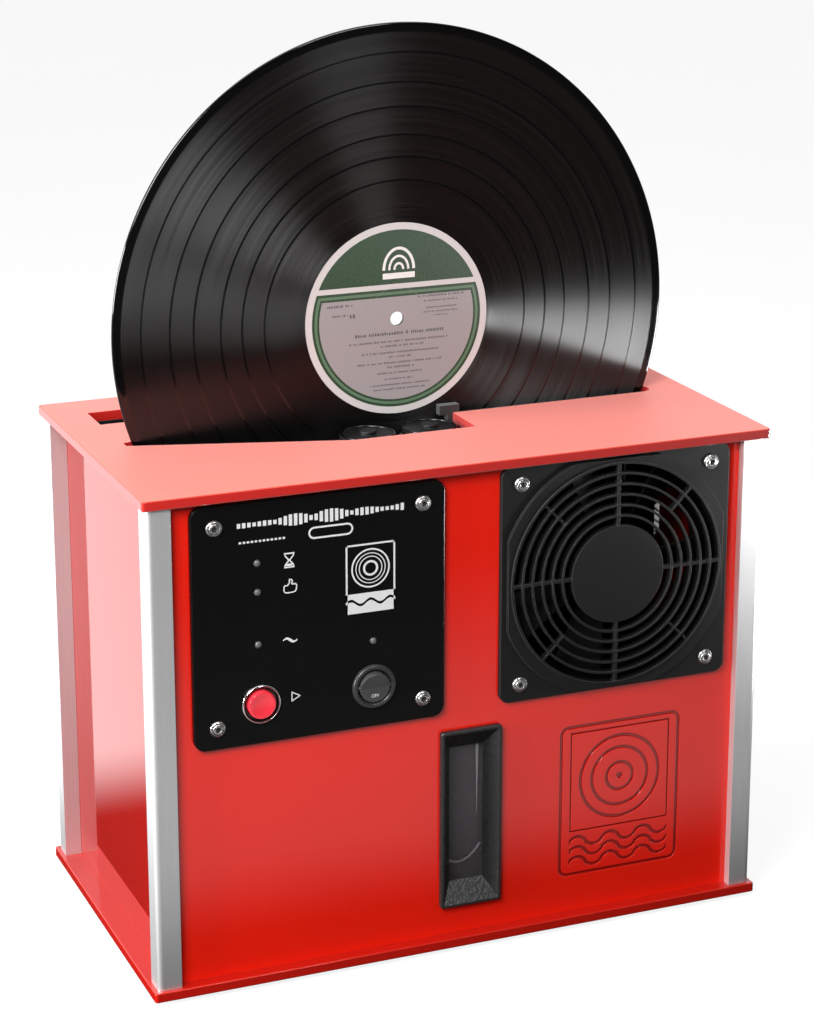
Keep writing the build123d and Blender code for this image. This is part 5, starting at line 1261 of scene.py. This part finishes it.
# ------------------------------------------------------------------ floor, light and camera
@dataclass(frozen=True)
class Lamp:
    """A soft lamp in metres and watts: rectangular, or round when it has a cone, in degrees."""

    name: str
    place: tuple[float, float, float]
    aim: tuple[float, float, float]
    size: tuple[float, float]
    watts: float
    gloss_only: bool = False
    cone: float = 0.0

    def light(self) -> None:
        """Adds the lamp; its three axes are its side, its up and the way back from its aim."""
        data = bpy.data.lights.new(self.name, "SPOT" if self.cone else "AREA")
        data.energy = self.watts
        if self.cone:
            data.spot_size, data.spot_blend = radians(self.cone), 0.35
            data.shadow_soft_size = self.size[0] / 2
        else:
            data.shape, data.size, data.size_y = "RECTANGLE", *self.size
        back = np.array(self.place) - np.array(self.aim)
        back /= np.linalg.norm(back)
        side = np.cross((0.0, 0.0, 1.0), back) if abs(back[2]) < 0.99 else np.array([1.0, 0.0, 0.0])
        side /= np.linalg.norm(side)
        matrix = np.eye(4)
        matrix[:3] = np.column_stack([side, np.cross(back, side), back, self.place])
        made = add_object(self.name, data)
        made.matrix_world = Matrix(matrix.tolist())
        made.visible_diffuse = not self.gloss_only


@dataclass
class Studio:
    """Pale floor, soft lamps, a white surround behind and a darker room before the machine."""

    camera_place: tuple[float, float, float] = (-0.5012, -1.2312, 0.6269)
    camera_turn: tuple[float, float, float] = (74.243, 0.0, -22.332)
    lens: float = 94.14
    shift: float = -0.0801
    ambient: float = 0.27
    front_gloss: float = 0.55
    side_gloss: float = 1.35
    lamps: tuple[Lamp, ...] = (
        Lamp("key", (-0.55, -0.60, 0.70), (-0.05, -0.08, 0.20), (0.40, 0.40), 9.5),
        Lamp("left", (-1.90, -0.10, 0.45), (0.0, 0.0, 0.15), (0.8, 0.6), 58.0),
        Lamp("low_right", (0.60, -0.30, 0.09), (0.06, 0.0, 0.33), (0.17, 0.17), 30.0, gloss_only=True,
             cone=26.0),
        Lamp("high", (0.22, -0.90, 1.10), (0.0, 0.0, 0.31), (0.35, 0.25), 3.0, gloss_only=True),
        Lamp("overhead", (0.0, 0.1, 1.9), (0.0, 0.05, 0.25), (1.6, 1.2), 11.0))

    def floor(self) -> None:
        """Large floor: white to the camera apart from the machine's shadow, darker far in front for gloss,
        with painted shade in its gloss close round the machine.
        """
        mesh = bpy.data.meshes.new("studio_floor")
        corners = np.array([(-6, -6, 0), (6, -6, 0), (6, 6, 0), (-6, 6, 0)], float)
        mesh.from_pydata(corners.tolist(), [], [[0, 1, 2, 3]])
        made = bpy.data.materials.new("studio_floor")
        graph = fresh_graph(made)
        path = graph.node("ShaderNodeLightPath")
        camera, gloss = path.outputs["Is Camera Ray"], path.outputs["Is Glossy Ray"]
        point = graph.object_point()
        x, y, _ = graph.axes(point)
        beside = graph.math("MAXIMUM", graph.math("SUBTRACT", graph.math("ABSOLUTE", x), 0.166), 0.0)
        before = graph.math("MAXIMUM", graph.math("SUBTRACT", graph.math("ABSOLUTE", y), 0.093), 0.0)
        away = graph.math("MAXIMUM", beside, before)
        # gloss emission fades to dark near the case: painted shade
        painted_shade_near_case = graph.remap(away, 0.04, 0.15, 0.02, 1.0)
        ahead = graph.remap(y, -0.70, -0.30, 0.05, self.front_gloss)
        level = graph.remap(y, -0.12, 0.12, ahead, self.side_gloss)
        seen = graph.math("MULTIPLY", level, painted_shade_near_case)
        strength = graph.math("MULTIPLY_ADD", camera, graph.math("SUBTRACT", 1.2, seen), seen)
        grey = graph.remap(graph.noise(point, 3.0, 2.0), 0.3, 0.7, 0.0, 0.04)
        albedo = graph.math("SUBTRACT", graph.math("MULTIPLY_ADD", camera, 0.76, 0.10), grey)
        matt = graph.node("ShaderNodeBsdfDiffuse", {"Color": graph.blend(albedo, (0.0, 0.0, 0.0), WHITE)})
        white = graph.node("ShaderNodeEmission", {"Color": WHITE, "Strength": strength})
        share = graph.math("MULTIPLY_ADD", camera, 0.72, gloss, clamp=True)
        mix = graph.node("ShaderNodeMixShader", {0: share, 1: matt.outputs[0], 2: white.outputs[0]})
        graph.node("ShaderNodeOutputMaterial", {"Surface": mix.outputs[0]})
        mesh.materials.append(made)
        add_object("studio_floor", mesh)

    def surround(self) -> None:
        """White for the camera, soft light for matt faces; for gloss, white behind and dark in front."""
        world = bpy.data.worlds.new("studio")
        bpy.context.scene.world = world
        graph = fresh_graph(world)
        path = graph.node("ShaderNodeLightPath")
        _, y, z = graph.axes(graph.node("ShaderNodeTexCoord").outputs["Generated"])
        room = graph.remap(y, -0.45, 0.05, 0.02, 1.0)
        ceiling = graph.remap(z, 0.45, 0.9, 0.0, 0.06)
        gloss = graph.math("MAXIMUM", room, ceiling)
        strength = graph.math("MULTIPLY_ADD", path.outputs["Is Glossy Ray"],
                              graph.math("SUBTRACT", gloss, self.ambient), self.ambient)
        camera = path.outputs["Is Camera Ray"]
        strength = graph.math("MULTIPLY_ADD", camera, graph.math("SUBTRACT", 1.0, strength), strength)
        shader = graph.node("ShaderNodeBackground", {"Color": WHITE, "Strength": strength})
        graph.node("ShaderNodeOutputWorld", {"Surface": shader.outputs[0]})

    def camera(self) -> None:
        """Long lens from the left front, with a small upward shift."""
        data = bpy.data.cameras.new("camera")
        data.lens, data.sensor_width, data.shift_y = self.lens, 36.0, self.shift
        data.sensor_fit = "AUTO"
        made = add_object("camera", data)
        made.location = self.camera_place
        made.rotation_euler = tuple(radians(a) for a in self.camera_turn)
        bpy.context.scene.camera = made

    def build(self) -> None:
        """Everything that isn't the machine."""
        self.floor()
        self.surround()
        for lamp in self.lamps:
            lamp.light()
        self.camera()
        bpy.context.scene.view_settings.view_transform = "Standard"


def main() -> None:
    """Dresses the frame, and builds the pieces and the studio."""
    logging.basicConfig(level=logging.INFO, format="%(message)s")
    Studio().build()
    FrameNodes().dress()
    for part in (SocketScrews(), StartButton(), PowerSwitch(), ControlMarks(), Record(), DrumTops(),
                 WaterView()):
        part.build()


if __name__ == "__main__":
    main()
